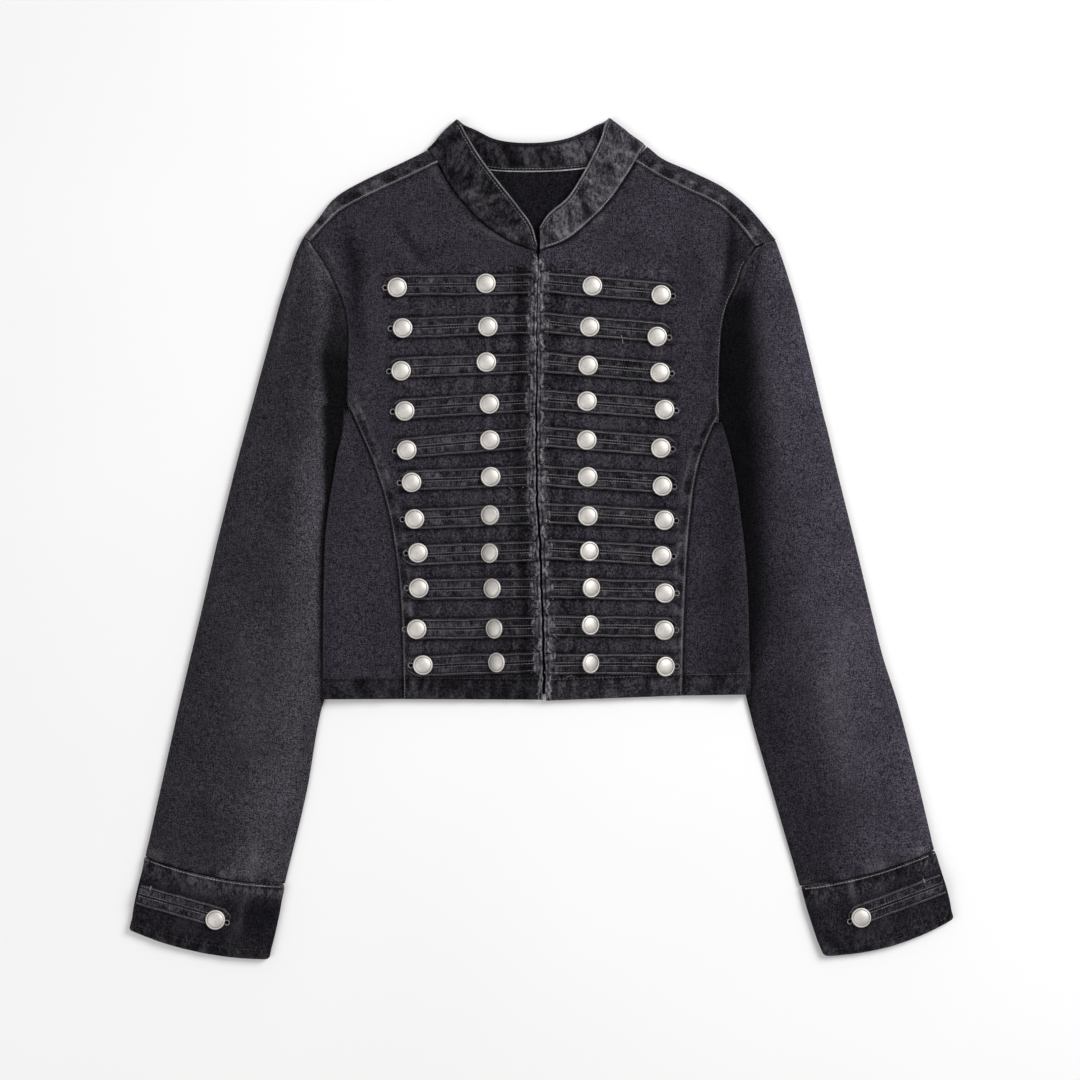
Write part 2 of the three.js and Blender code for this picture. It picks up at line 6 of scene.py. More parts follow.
import bpy
import numpy as np
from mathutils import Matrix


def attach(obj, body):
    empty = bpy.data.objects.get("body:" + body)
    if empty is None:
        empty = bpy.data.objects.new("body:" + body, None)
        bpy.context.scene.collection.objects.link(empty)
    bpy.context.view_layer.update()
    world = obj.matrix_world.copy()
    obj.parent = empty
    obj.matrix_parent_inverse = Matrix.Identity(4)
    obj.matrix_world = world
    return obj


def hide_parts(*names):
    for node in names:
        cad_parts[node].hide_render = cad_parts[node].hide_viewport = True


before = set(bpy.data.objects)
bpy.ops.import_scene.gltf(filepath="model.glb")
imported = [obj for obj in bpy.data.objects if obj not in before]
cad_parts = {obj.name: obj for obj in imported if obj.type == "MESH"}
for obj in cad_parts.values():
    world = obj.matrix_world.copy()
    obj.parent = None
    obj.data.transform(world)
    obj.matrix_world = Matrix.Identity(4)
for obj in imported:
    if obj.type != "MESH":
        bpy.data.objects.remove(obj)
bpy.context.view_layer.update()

MM = 0.001
CLOTH = 1.5
FRONT_TOP = 6.6
ARMHOLE_DIP = 1.2
SIDE_TOP = 9.0
SIDE_UNDERSIDE = 4.8
SIDE_TURN_UNDER = 36
SLEEVE_TOP = 6.9
SLEEVE_VALLEY = 4.4
COLLAR_WALL = 2.4
CUFF_TOP = 7.2
CUFF_WALL = 2.0
LAYER_GAP = 0.3
STRAP_LOW = FRONT_TOP + LAYER_GAP
STRAP_THICK = 1.6
STRAP_WIDTH = 18.5
TAB_WIDTH = 18.6
BUTTON_RADIUS = 8.5
FLOOR_GAP = 0.1
THREAD_GAP = 0.02
FRONT_GAP_X = -5.0
NECK_LOW = 318.3


def table(columns, *rows):
    """Rows of numbers as one array for each named column."""
    values = np.array(rows, float)
    return {name: values[:, i] for i, name in enumerate(columns.split())}


def one_row(rows, k):
    return {name: column[k] for name, column in rows.items()}


# The two sides, from their own sizes, as in the CAD. Each table runs as its name says:
# lower from the underarm to the hem, armhole upwards, neck from the front to the shoulder.
LOWER = "edgeX edgeY princessX princessY foldX foldY lift"
ARMHOLE = "edgeX edgeY seamX seamY outerX outerY"
NECK = "neckX neckY endX endY collarX collarY"
SLEEVE = "outerX outerY innerX innerY bow"
SHOULDER = "foldX foldY seamX seamY"
CUFF = "outerX outerY innerX innerY bow"
STRAPS = "edgeY tipX tipY outerX outerY innerX innerY outerTilt innerTilt"
SIDES = {
    "right": {
        "out": -1,
        "lower": table(
            LOWER,
            (-6.5, 112, -165, 112, -171, 112, 0),
            (-6.5, 94, -157, 94, -172, 94, 0),
            (-6.4, 72, -147.5, 72, -176.5, 72, 1),
            (-6.2, 50, -139.5, 50, -180, 50, 1),
            (-5.8, 25, -132.5, 25, -184, 25, 1),
            (-4, 0, -127.7, 0, -186.5, 0, 1),
            (-2.3, -40, -122.8, -40, -187.8, -40, 1),
            (-0.5, -95, -120.1, -95, -188.5, -95, 1),
            (-0.4, -137.6, -119.5, -137, -188.5, -137, 1),
        ),
        "armhole": table(
            ARMHOLE,
            (-6.4, 117, -167.6, 117, -249.3, 117),
            (-6.2, 130, -167.6, 130, -245.8, 130),
            (-6, 155, -167.5, 155, -239, 155),
            (-5.5, 185, -167.5, 185, -230.8, 185),
            (-5.2, 208, -172.5, 208, -224.5, 208),
            (-5, 226, -180.5, 226, -218.5, 226),
            (-4.8, 242, -189.5, 242, -213, 244),
        ),
        "neck": table(
            NECK,
            (-5, 248, -193, 246.8, -4.2, 254),
            (-24.5, 254.7, -194.8, 249.2, -8, 268.5),
            (-48, 270, -196.2, 251.2, -19.8, 286),
            (-66, 287, -197.3, 252.9, -36, 306.5),
            (-80, 305, -198.1, 254.2, -52.5, 328.3),
            (-90, 323, -198.8, 255.4, -66, 350.5),
        ),
        "capTip": (-206.3, 259.2),
        "sleeve": table(
            SLEEVE,
            (-250.6, 112.4, -171.7, 112.4, 0),
            (-255.5, 94, -172.9, 93, 0),
            (-262, 70, -177.6, 70, 0),
            (-270, 38, -174.2, 34, 0),
            (-280, -3, -178.8, -12, 0),
            (-292.5, -58, -180.3, -70, 0),
            (-303, -102, -182, -116, 0),
            (-311.5, -138, -191, -150, 1),
            (-326, -203, -203, -218, 3),
            (-341.3, -272, -221.6, -296, 5.5),
        ),
        "shoulder": table(
            SHOULDER,
            (-101.5, 334, -90.5, 323.6),
            (-122, 324, -117, 311),
            (-153, 309.5, -147, 297),
            (-177.5, 295, -171, 284.5),
            (-192.6, 276.5, -184.5, 272.5),
            (-205.6, 260.8, -199, 256.6),
        ),
        "cuff": table(
            CUFF,
            (-341.6, -273, -221.9, -297, 5.5),
            (-350, -308, -227.5, -330, 6),
            (-355, -335.6, -235, -360.8, 6.5),
        ),
        "tab": (-347, -304.8, -267, -327),
        "cuffButton": (-280.4, -326.2),
        "straps": table(
            STRAPS,
            (220, -137.3, 218.2, -124.4, 216.7, -48.2, 220.1, 0, 0),
            (185.5, -131.9, 182, -119.7, 181.8, -46.5, 183, 0, 0),
            (152.2, -133.9, 147.5, -121, 145.1, -47.8, 152.5, 0, 0),
            (118.5, -131, 112, -117.9, 110.6, -45.2, 116.6, 0, 0),
            (87.5, -128.7, 78.2, -116.1, 77, -44.8, 85.6, 0, 0),
            (54.8, -124.3, 50.5, -112, 49.3, -44.1, 54.1, 0, 0),
            (22.1, -121.5, 17.5, -109.5, 17.8, -44.1, 21.2, 0, -22),
            (-9.7, -121, -13.5, -106.5, -11.2, -44.3, -11.4, 0, -30),
            (-41.5, -118.6, -43, -105.8, -41.5, -42.1, -41.7, 0, -30),
            (-75, -118.2, -77.3, -107.6, -76.8, -40.3, -76.2, 0, -34),
            (-105, -117.2, -109, -102.3, -107.6, -38.3, -105.1, 0, -34),
        ),
    },
    "left": {
        "out": 1,
        "lower": table(
            LOWER,
            (-3, 101, 149, 101, 155, 101, 0),
            (-3, 90, 144, 90, 158.5, 90, 0),
            (-2.8, 72, 136.8, 72, 162.8, 72, 1),
            (-2.5, 50, 131.5, 50, 167, 50, 1),
            (-1.9, 25, 128.2, 25, 170.3, 25, 1),
            (0, 0, 125.8, 0, 173.5, 0, 1),
            (1.4, -40, 123.5, -40, 176.7, -40, 1),
            (3.4, -92, 121.5, -92, 178.2, -92, 1),
            (4, -138.4, 120.7, -134, 178.9, -133, 1),
        ),
        "armhole": table(
            ARMHOLE,
            (-3, 106, 152.4, 106, 242.8, 106),
            (-3, 120, 152.3, 120, 239.5, 120),
            (-3, 160, 153.4, 160, 230, 160),
            (-3, 185, 155.5, 185, 223.8, 185),
            (-2.8, 205, 160.5, 205, 218.7, 205),
            (-2.6, 220, 167.5, 220, 214, 220),
            (-2.5, 235, 172.6, 235, 209.3, 235),
        ),
        "neck": table(
            NECK,
            (-1.6, 248.5, 177.6, 243.6, -1.8, 269),
            (16.3, 254.7, 179.2, 245.6, 4.5, 279),
            (41.3, 273.3, 180.5, 247.2, 22, 294.5),
            (59.8, 292.5, 181.6, 248.7, 35.5, 315.5),
            (71.5, 309.5, 182.6, 250.1, 44.5, 332.5),
            (80.7, 324, 183.3, 251.3, 51.2, 347),
        ),
        "capTip": (202, 256.4),
        "sleeve": table(
            SLEEVE,
            (245.8, 95, 157.7, 95, 0),
            (251.6, 70, 163.9, 70, 0),
            (259.5, 38, 160.4, 34, 0),
            (270, -4, 166.2, -13, 0),
            (283, -58, 169.7, -70, 0),
            (294, -102, 172, -116, 0),
            (305.6, -138, 179.6, -150, 1),
            (322, -201, 198, -215, 3),
            (337.6, -266.4, 222.2, -298, 5),
        ),
        "shoulder": table(
            SHOULDER,
            (92, 337.5, 81.3, 324.4),
            (105, 327.5, 100, 313),
            (129, 317, 122, 302),
            (157, 303, 151, 288),
            (179.5, 284.5, 167.5, 273),
            (201.2, 258.4, 183.6, 252.6),
        ),
        "cuff": table(
            CUFF,
            (338, -267.4, 222.5, -299, 5),
            (349.5, -302, 232, -330, 7),
            (354.9, -325.6, 242.1, -358, 8),
        ),
        "tab": (345, -295.4, 263, -326),
        "cuffButton": (274, -324.4),
        "straps": table(
            STRAPS,
            (221.5, 116.1, 211.4, 102.3, 210.2, 43.2, 218, 0, 0),
            (186.7, 112.7, 177.2, 98.9, 174.5, 40.9, 182.8, 0, 0),
            (152.4, 114.3, 143.2, 101.3, 143.6, 39.6, 149.7, 0, 0),
            (120.5, 117.6, 112.1, 105.2, 111.7, 38.6, 119, 0, 0),
            (88.6, 117, 80, 102, 78.7, 38.4, 85.6, 0, 0),
            (55, 116.8, 48.2, 103.3, 46.1, 39.2, 54, 0, 0),
            (22.7, 117.6, 17.4, 105, 16.8, 39.4, 20.4, 0, 0),
            (-8.2, 115.2, -13.5, 102.8, -13.9, 40.3, -9.8, 0, 18),
            (-41.4, 117.2, -43.8, 105.5, -45.8, 41.6, -41.2, 0, 28),
            (-73.9, 117, -75.5, 105, -77.6, 40.9, -73.1, 0, 28),
            (-106.8, 116.4, -107.5, 105.5, -108.7, 41.1, -105.9, 20, 34),
        ),
    },
}
COLLAR_BACK = table(
    "seamX seamY seamZ topX topY topZ",
    (-95.8, 332, 6.6, -69.8, 357.5, 7.3),
    (-98.6, 335.2, 4.6, -72.6, 361.6, 4.8),
    (-94.5, 332.5, 2.2, -68.5, 358.6, 2.4),
    (-75, 327, 1.3, -57, 353, 2.8),
    (-45.6, 320, 1.2, -40.4, 345, 4.4),
    (-9.5, 318.3, 1.2, -10, 341.3, 6.4),
    (20, 319.4, 1.2, 18, 344.4, 5.6),
    (44, 322.4, 1.2, 34.5, 350.5, 3.6),
    (68, 329.5, 1.3, 46.5, 357, 2.8),
    (85.8, 335, 2.2, 54, 360.2, 2.4),
    (89.3, 338, 4.6, 57.4, 362.7, 4.8),
    (86, 334.4, 6.6, 54.4, 358, 7.3),
)

# Creases, each through three points: a soft trough, or a ridge where its depth is below zero.
CREASE = "x1 y1 x2 y2 x3 y3 width depth"
BODY_CREASES = {
    "right": table(
        CREASE,
        (-172, 274, -161, 232, -157, 150, 8, 2.0),
        (-186, 262, -178, 222, -176, 190, 4, -0.8),
        (-129, 277, -116, 258, -99, 238, 5, 1.3),
        (-137, 271, -122, 252, -108, 236, 5, -0.7),
        (-150, 240, -146, 190, -150, 130, 12, -0.8),
        (-80, 262, -92, 246, -112, 236, 6, 0.7),
    ),
    "left": table(
        CREASE,
        (163, 286, 161.5, 243, 152, 195, 4.6, 2.2),
        (158.5, 276, 157, 240, 148.5, 205, 3.4, -1.2),
        (150, 205, 144, 170, 146, 125, 8, 1.0),
        (120, 270, 128, 235, 124, 190, 12, 0.7),
        (70, 268, 84, 250, 104, 238, 7, 0.6),
    ),
}
SLEEVE_CREASES = {
    "right": table(
        CREASE,
        (-207, 246, -220, 192, -233, 140, 3.2, -0.9),
        (-214, 190, -205, 150, -199, 118, 8, 0.9),
        (-236, 60, -215, 0, -206, -70, 12, 0.8),
        (-262, -60, -250, -130, -258, -205, 14, -0.8),
        (-215, -130, -232, -180, -240, -240, 9, 0.7),
        (-300, -170, -292, -215, -300, -262, 8, 0.6),
        (-250, -252, -247, -272, -252, -290, 5, -0.9),
    ),
    "left": table(
        CREASE,
        (196, 236, 208, 200, 212, 160, 7, 0.8),
        (186, 200, 190, 150, 200, 105, 8, -0.6),
        (232, 50, 214, -10, 206, -70, 12, 0.9),
        (262, -60, 250, -130, 262, -205, 14, -0.8),
        (214, -120, 232, -180, 244, -240, 9, 0.7),
        (300, -170, 296, -215, 304, -258, 8, 0.6),
        (262, -250, 258, -270, 266, -290, 5, 0.7),
    ),
}
BACK_CREASES = table(
    CREASE,
    (-120, 230, -60, 120, -90, 20, 14, 0.8),
    (110, 235, 70, 130, 96, 30, 14, 0.8),
    (-30, 60, -10, -20, -26, -110, 16, 0.7),
    (60, 20, 50, -50, 70, -120, 12, 0.7),
)


# Curves and fields on grids of points
def spline(knots, values, places):
    """Smooth values at the places, through the values at the knots."""
    knots = np.asarray(knots, float)
    values = np.asarray(values, float).reshape(len(knots), -1)
    places = np.asarray(places, float)
    step = np.diff(knots)[:, None]
    slope = np.diff(values, axis=0) / step
    tangent = np.empty_like(values)
    tangent[0], tangent[-1] = slope[0], slope[-1]
    tangent[1:-1] = (slope[:-1] * step[1:] + slope[1:] * step[:-1]) / (step[:-1] + step[1:])
    i = np.clip(np.searchsorted(knots, places, side="right") - 1, 0, len(knots) - 2)
    h = step[i]
    t = (places - knots[i])[:, None] / h
    a, b = values[i], values[i + 1]
    bend = (a * (2 * t**3 - 3 * t**2 + 1) + b * (3 * t**2 - 2 * t**3))
    return bend + h * (tangent[i] * (t**3 - 2 * t**2 + t) + tangent[i + 1] * (t**3 - t**2))


def lengths(points):
    """The distance along a line of points, at each of them."""
    steps = np.linalg.norm(np.diff(points, axis=0), axis=1)
    return np.concatenate([[0], np.cumsum(steps)])


def run(grid, axis, from_end=False):
    """The distance over the cloth from one edge of a grid, at each of its points."""
    steps = np.linalg.norm(np.diff(grid, axis=axis), axis=2)
    total = np.insert(np.cumsum(steps, axis=axis), 0, 0, axis=axis)
    return np.take(total, [-1], axis=axis) - total if from_end else total


def ease(x, low, high):
    """0 below low, 1 above high, and smooth between them."""
    t = np.clip((x - low) / (high - low), 0, 1)
    return t * t * (3 - 2 * t)


def bell(x, middle, width):
    """1 at the middle, falling smoothly to 0 on both sides of it."""
    return np.exp(-(((x - middle) / width) ** 2))


def noise(x, y, seed):
    """Smooth random values from -1 to 1, with one random value for each unit."""
    size = 101
    lattice = np.random.default_rng(seed).uniform(-1, 1, (size, size))
    x, y = np.broadcast_arrays(np.asarray(x, float), np.asarray(y, float))
    i, j = np.floor(x).astype(int), np.floor(y).astype(int)
    u, v = ease(x - i, 0, 1), ease(y - j, 0, 1)
    near = lattice[i % size, j % size] * (1 - u) + lattice[(i + 1) % size, j % size] * u
    far = lattice[i % size, (j + 1) % size] * (1 - u) + lattice[(i + 1) % size, (j + 1) % size] * u
    return near * (1 - v) + far * v


def puckers(along, across, spacing, seed):
    """Uneven little ridges that cross a seam, from -1 to 1."""
    drift = 0.6 * noise(along / 40, across / 30, seed + 7)
    long_ones = noise(along / spacing + drift, across / (2.6 * spacing), seed)
    short_ones = noise(along / (0.5 * spacing), across / (1.1 * spacing), seed + 3)
    return np.clip(1.25 * long_ones + 0.55 * short_ones, -1, 1)


def press_creases(grid, creases, mask=1.0):
    """Presses creases into a grid and returns how deep each point went."""
    depth = np.zeros(grid.shape[:2])
    flat = grid[..., :2].reshape(-1, 1, 2)
    for k in range(len(creases["x1"])):
        c = one_row(creases, k)
        s = np.linspace(0, 1, 48)
        ends = np.array([[c["x1"], c["y1"]], [c["x2"], c["y2"]], [c["x3"], c["y3"]]])
        path = spline([0, 0.5, 1], ends, s)
        gap = np.linalg.norm(flat - path, axis=2)
        nearest = gap.argmin(axis=1)
        fade = np.sin(np.pi * np.clip(s[nearest], 0.02, 0.98)) ** 0.6
        soft = fade * np.exp(-((gap.min(axis=1) / c["width"]) ** 2))
        depth += c["depth"] * soft.reshape(grid.shape[:2])
    depth = depth * mask
    grid[..., 2] -= depth
    return depth


def normals(grid, wrap=False):
    """The normal at each point of a grid."""
    along = np.gradient(grid, axis=0)
    if wrap:
        across = (np.roll(grid, -1, axis=1) - np.roll(grid, 1, axis=1)) / 2
    else:
        across = np.gradient(grid, axis=1)
    n = np.cross(along, across)
    return n / np.maximum(np.linalg.norm(n, axis=2, keepdims=True), 1e-9)


def at_distance(points, distance, wanted):
    """On each row of a grid, the point at the wanted distance."""
    line = []
    for row, gaps in zip(points, distance):
        order = np.argsort(gaps)
        line.append([np.interp(wanted, gaps[order], row[order, k]) for k in range(3)])
    return np.array(line)


class Cloth:
    """A cloth surface: a grid of points, with relief, wear, shade and roughening at each of them."""

    def __init__(self, grid, at, faces_up=True, wrap=False):
        """The grid's face is the one that looks up, or down, at the row and column given."""
        self.grid = grid
        self.wrap = wrap
        self.normal = normals(grid, wrap)
        if (self.normal[at][2] > 0) != faces_up:
            self.normal *= -1
        self.relief = np.zeros(grid.shape[:2])
        self.wear = np.zeros(grid.shape[:2])
        self.shade = np.ones(grid.shape[:2])
        self.crinkle = np.full(grid.shape[:2], 0.12)

    def pucker(self, mask, along, across, spacing, seed, relief, wear, shade):
        """Raises worn ridges where the mask is 1, with painted shade in the dips between them."""
        ridge = puckers(along, across, spacing, seed) * mask
        self.relief += relief * ridge
        self.wear += wear * np.clip(ridge - 0.12, 0, 1) * 1.2
        self.shade *= 1 - shade * np.clip(-ridge, 0, 1)

    def darken(self, amount):
        self.shade *= 1 - np.clip(amount, 0, 1)

    def surface(self):
        return self.grid + self.normal * self.relief[..., None]

    def behind(self, thickness):
        return self.grid - self.normal * thickness


# Materials
def tint(color):
    """A color with its alpha."""
    return (*color, 1.0)


class Nodes:
    """Adds and links shader nodes of one material."""

    def __init__(self, name):
        self.material = bpy.data.materials.new(name)
        self.material.use_nodes = True
        self.tree = self.material.node_tree
        self.shader = self.tree.nodes["Principled BSDF"]

    def add(self, kind, inputs=None, **settings):
        node = self.tree.nodes.new(kind)
        for key, value in settings.items():
            setattr(node, key, value)
        for key, value in (inputs or {}).items():
            if isinstance(value, bpy.types.NodeSocket):
                self.tree.links.new(value, node.inputs[key])
            else:
                node.inputs[key].default_value = value
        return node

    def noise(self, vector, scale, detail=2.0, roughness=0.55):
        inputs = {"Vector": vector, "Scale": scale, "Detail": detail, "Roughness": roughness}
        return self.add("ShaderNodeTexNoise", inputs).outputs["Fac"]

    def spread(self, value, low, high, to_low=0.0, to_high=1.0):
        inputs = {"Value": value, "From Min": low, "From Max": high, "To Min": to_low, "To Max": to_high}
        return self.add("ShaderNodeMapRange", inputs).outputs["Result"]

    def math(self, operation, a, b):
        return self.add("ShaderNodeMath", {0: a, 1: b}, operation=operation).outputs[0]

    def mix(self, factor, a, b, blend="MIX"):
        node = self.add("ShaderNodeMix", {"Factor": factor}, data_type="RGBA", blend_type=blend)
        for socket, value in ((node.inputs[6], a), (node.inputs[7], b)):
            if isinstance(value, bpy.types.NodeSocket):
                self.tree.links.new(value, socket)
            else:
                socket.default_value = value
        return node.outputs[2]

    def attribute(self, name):
        return self.add("ShaderNodeAttribute", attribute_name=name).outputs["Fac"]

    def coordinates(self, turn=0.0, scale=(1, 1, 1)):
        place = self.add("ShaderNodeTexCoord").outputs["Object"]
        inputs = {"Vector": place, "Rotation": (0, 0, turn), "Scale": scale}
        return self.add("ShaderNodeMapping", inputs).outputs["Vector"]

    def link(self, output, socket):
        self.tree.links.new(output, self.shader.inputs[socket])

    def bump(self, height, strength, distance):
        inputs = {"Height": height, "Strength": strength, "Distance": distance}
        self.link(self.add("ShaderNodeBump", inputs).outputs["Normal"], "Normal")


def denim(name, turn=0.0, flecks=1.0, stretch=0.9, dark=(0.0066, 0.0055, 0.0088),
          fleck=(0.078, 0.069, 0.091), worn=(0.150, 0.142, 0.156)):
    """Washed black denim: dark warp, pale weft flecks, a twill line, and fields from the mesh.

    The mesh gives wear (how pale), shade (a factor on the colour that carries painted shade and painted
    light, and also darker or paler cloth) and crinkle (how strongly the washed puckers show, with painted
    shade in their dips).
    """
    n = Nodes(name)
    place = n.coordinates(turn)
    warp = n.coordinates(turn, (1, 0.2, 1))
    drawn = n.coordinates(turn, (1, stretch, 1))
    weft = n.coordinates(turn, (0.25, 1, 1))
    grain = n.noise(place, 1050, 2, 0.7)
    streaks = n.noise(warp, 1000, 2, 0.6)
    slubs = n.noise(weft, 800, 2, 0.6)
    clouds = n.noise(place, 24, 3, 0.55)
    mottle = n.noise(place, 150, 3, 0.6)
    speck = n.math("ADD", n.math("MULTIPLY", grain, 0.64), n.math("MULTIPLY", streaks, 0.2))
    speck = n.math("ADD", speck, n.math("MULTIPLY", slubs, 0.16))
    speck = n.spread(speck, 0.44, 0.62)
    cloud = n.spread(clouds, 0.3, 0.7, 0.68, 1.1)
    speck = n.math("MULTIPLY", n.math("MULTIPLY", speck, cloud), flecks)
    color = n.mix(speck, tint(dark), tint(fleck))
    crinkle = n.spread(n.noise(drawn, 440, 4, 0.72), 0.36, 0.64, -1.0, 1.0)
    crinkle = n.math("MULTIPLY", crinkle, n.attribute("crinkle"))
    wear = n.math("MULTIPLY", n.attribute("wear"), n.spread(mottle, 0.3, 0.68, 0.35, 1.25))
    wear = n.math("ADD", wear, n.math("MULTIPLY", n.math("MAXIMUM", crinkle, 0.0), 0.42))
    wear = n.math("MULTIPLY", wear, n.spread(grain, 0.3, 0.62, 0.5, 1.15))
    color = n.mix(wear, color, tint(worn))
    # painted shade in the dips of the crinkle, multiplied with the shade field
    hollow_shade = n.math("ADD", n.math("MULTIPLY", n.math("MINIMUM", crinkle, 0.0), 0.85), 1.0)
    color = n.mix(1.0, color, n.math("MULTIPLY", n.attribute("shade"), hollow_shade), "MULTIPLY")
    n.link(color, "Base Color")
    n.link(n.spread(grain, 0.3, 0.7, 0.98, 0.85), "Roughness")
    n.shader.inputs["Specular IOR Level"].default_value = 0.05
    n.shader.inputs["Sheen Weight"].default_value = 0.02
    n.shader.inputs["Sheen Roughness"].default_value = 0.5
    twill = n.add("ShaderNodeTexWave", {
        "Vector": place, "Scale": 330.0, "Distortion": 1.6, "Detail": 2.0, "Detail Scale": 1.5,
    }, bands_direction="DIAGONAL").outputs["Fac"]
    height = n.math("ADD", n.math("MULTIPLY", twill, 0.4), n.math("MULTIPLY", grain, 0.6))
    height = n.math("ADD", height, n.math("MULTIPLY", crinkle, 0.9))
    n.bump(height, 0.6, 0.0006)
    return n.material


def thread_material(name, pale, deep, roughness=0.75):
    """Twisted thread, uneven in tone."""
    n = Nodes(name)
    place = n.coordinates()
    tone = n.spread(n.noise(place, 90, 2), 0.35, 0.65)
    color = n.mix(tone, tint(deep), tint(pale))
    color = n.mix(n.spread(n.noise(place, 900, 2), 0.35, 0.7, 0.0, 0.35), color, tint(deep))
    n.link(color, "Base Color")
    n.link(n.spread(tone, 0, 1, roughness + 0.15, roughness), "Roughness")
    twist = n.add("ShaderNodeTexWave", {"Vector": place, "Scale": 500.0, "Distortion": 1.0})
    n.bump(twist.outputs["Fac"], 0.4, 0.0002)
    return n.material


def metal_material(name):
    """Brushed, slightly worn silver colour, with painted shade in the groove between dome and rim."""
    n = Nodes(name)
    place = n.coordinates()
    tone = n.spread(n.noise(place, 300, 3), 0.3, 0.7)
    color = n.mix(tone, (0.64, 0.605, 0.57, 1), (0.76, 0.73, 0.695, 1))
    color = n.mix(1.0, color, n.attribute("shade"), "MULTIPLY")
    n.link(color, "Base Color")
    n.shader.inputs["Metallic"].default_value = 1.0
    n.link(n.spread(n.noise(place, 800, 2), 0.3, 0.7, 0.56, 0.66), "Roughness")
    n.bump(n.noise(place, 1500, 2), 0.12, 0.0002)
    return n.material


LEAN = math.radians(13)
DENIM = {
    "body": denim("denim_body"),
    "sleeve_right": denim("denim_sleeve_right", turn=LEAN, dark=(0.0068, 0.0060, 0.0080),
                          fleck=(0.078, 0.071, 0.086)),
    "sleeve_left": denim("denim_sleeve_left", turn=-LEAN),
    "trim": denim("denim_trim", turn=math.pi / 2, flecks=0.9, stretch=0.55),
}
THREAD = thread_material("thread_grey", (0.25, 0.243, 0.25), (0.10, 0.097, 0.10))
SOFT_THREAD = thread_material("thread_soft", (0.21, 0.20, 0.215), (0.07, 0.066, 0.073))
DARK_THREAD = thread_material("thread_dark", (0.075, 0.070, 0.078), (0.022, 0.020, 0.024))
FIBRE = thread_material("fibre_pale", (0.34, 0.333, 0.335), (0.15, 0.146, 0.15), 0.9)
METAL = metal_material("button_silver")
# the thread of the princess seam, the armhole and the hem on each side
SEAM_THREADS = {"right": (SOFT_THREAD, DARK_THREAD, DARK_THREAD), "left": (THREAD, THREAD, SOFT_THREAD)}
# how far above the hem its stitches run, then their pitch, length and lift
HEM_STITCHES = 18.0
HEM_ROW = (3.1, 2.3, 0.02)


# Mesh makers
def add_object(name, vertices, faces, material, node_names, fields=None):
    """An object on the root body that stands for the CAD nodes it names."""
    mesh = bpy.data.meshes.new(name)
    mesh.from_pydata((vertices * MM).tolist(), [], faces)
    for key, values in (fields or {}).items():
        mesh.attributes.new(key, "FLOAT", "POINT").data.foreach_set("value", values.astype(np.float32))
    mesh.polygons.foreach_set("use_smooth", [True] * len(mesh.polygons))
    mesh.set_sharp_from_angle(angle=math.radians(55))
    mesh.materials.append(material)
    mesh.validate()
    obj = bpy.data.objects.new(name, mesh)
    bpy.context.scene.collection.objects.link(obj)
    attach(obj, "root")
    if node_names:
        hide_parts(*node_names)
    return obj


def sheet_faces(rows, columns, wrap, slit=None):
    """Faces of two grids of points, one behind the other, closed round their edges.

    A slit is a column and the row from which its faces are left out.
    """
    i, j = np.meshgrid(np.arange(rows - 1), np.arange(columns if wrap else columns - 1), indexing="ij")
    if slit:
        kept = (j != slit[0]) | (i < slit[1])
        i, j = i[kept], j[kept]
    a = i * columns + j
    b = i * columns + (j + 1) % columns
    c, d = b + columns, a + columns
    back = rows * columns
    front = np.stack([a, b, c, d], axis=-1).reshape(-1, 4)
    behind = np.stack([a, d, c, b], axis=-1).reshape(-1, 4) + back
    top = [(j, (j + 1) % columns) for j in range(columns if wrap else columns - 1)]
    end = (rows - 1) * columns
    rim = [(p, q) for p, q in top] + [(end + q, end + p) for p, q in top if not slit or p != slit[0]]
    if slit:
        column, first = slit
        rim.append((first * columns + column + 1, first * columns + column))
        for k in range(first, rows - 1):
            rim.append((k * columns + column, (k + 1) * columns + column))
            rim.append(((k + 1) * columns + column + 1, k * columns + column + 1))
    if not wrap:
        for k in range(rows - 1):
            rim.append((k * columns + columns - 1, (k + 1) * columns + columns - 1))
            rim.append(((k + 1) * columns, k * columns))
    rim = np.array([(q, p, p + back, q + back) for p, q in rim])
    return np.concatenate([front, behind, rim])


def volume(vertices, faces):
    """Six times the volume that the faces close in."""
    p = vertices[faces]
    first = np.einsum("ij,ij->i", p[:, 0], np.cross(p[:, 1], p[:, 2]))
    second = np.einsum("ij,ij->i", p[:, 0], np.cross(p[:, 2], p[:, 3]))
    return (first + second).sum()


def add_cloth(name, cloth, inner, material, node_names, back_fields=True, back_shade=1.0,
              slit=None):
    """The cloth as a closed shell: its own surface, and the given grid behind it."""
    surface = cloth.surface()
    rows, columns = surface.shape[:2]
    vertices = np.concatenate([surface.reshape(-1, 3), inner.reshape(-1, 3)])
    vertices[:, 2] = np.maximum(vertices[:, 2], FLOOR_GAP)
    faces = sheet_faces(rows, columns, cloth.wrap, slit)
    if volume(vertices, faces) < 0:
        faces = faces[:, ::-1]
    fields = {}
    limits = (("wear", 0, 1, 0), ("shade", 0.04, 2.2, back_shade), ("crinkle", 0, 1, 0.2))
    for key, low, high, plain in limits:
        values = np.clip(getattr(cloth, key), low, high).ravel()
        behind = values if back_fields else np.full_like(values, plain)
        fields[key] = np.concatenate([values, behind])
    return add_object(name, vertices, faces.tolist(), material, node_names, fields)


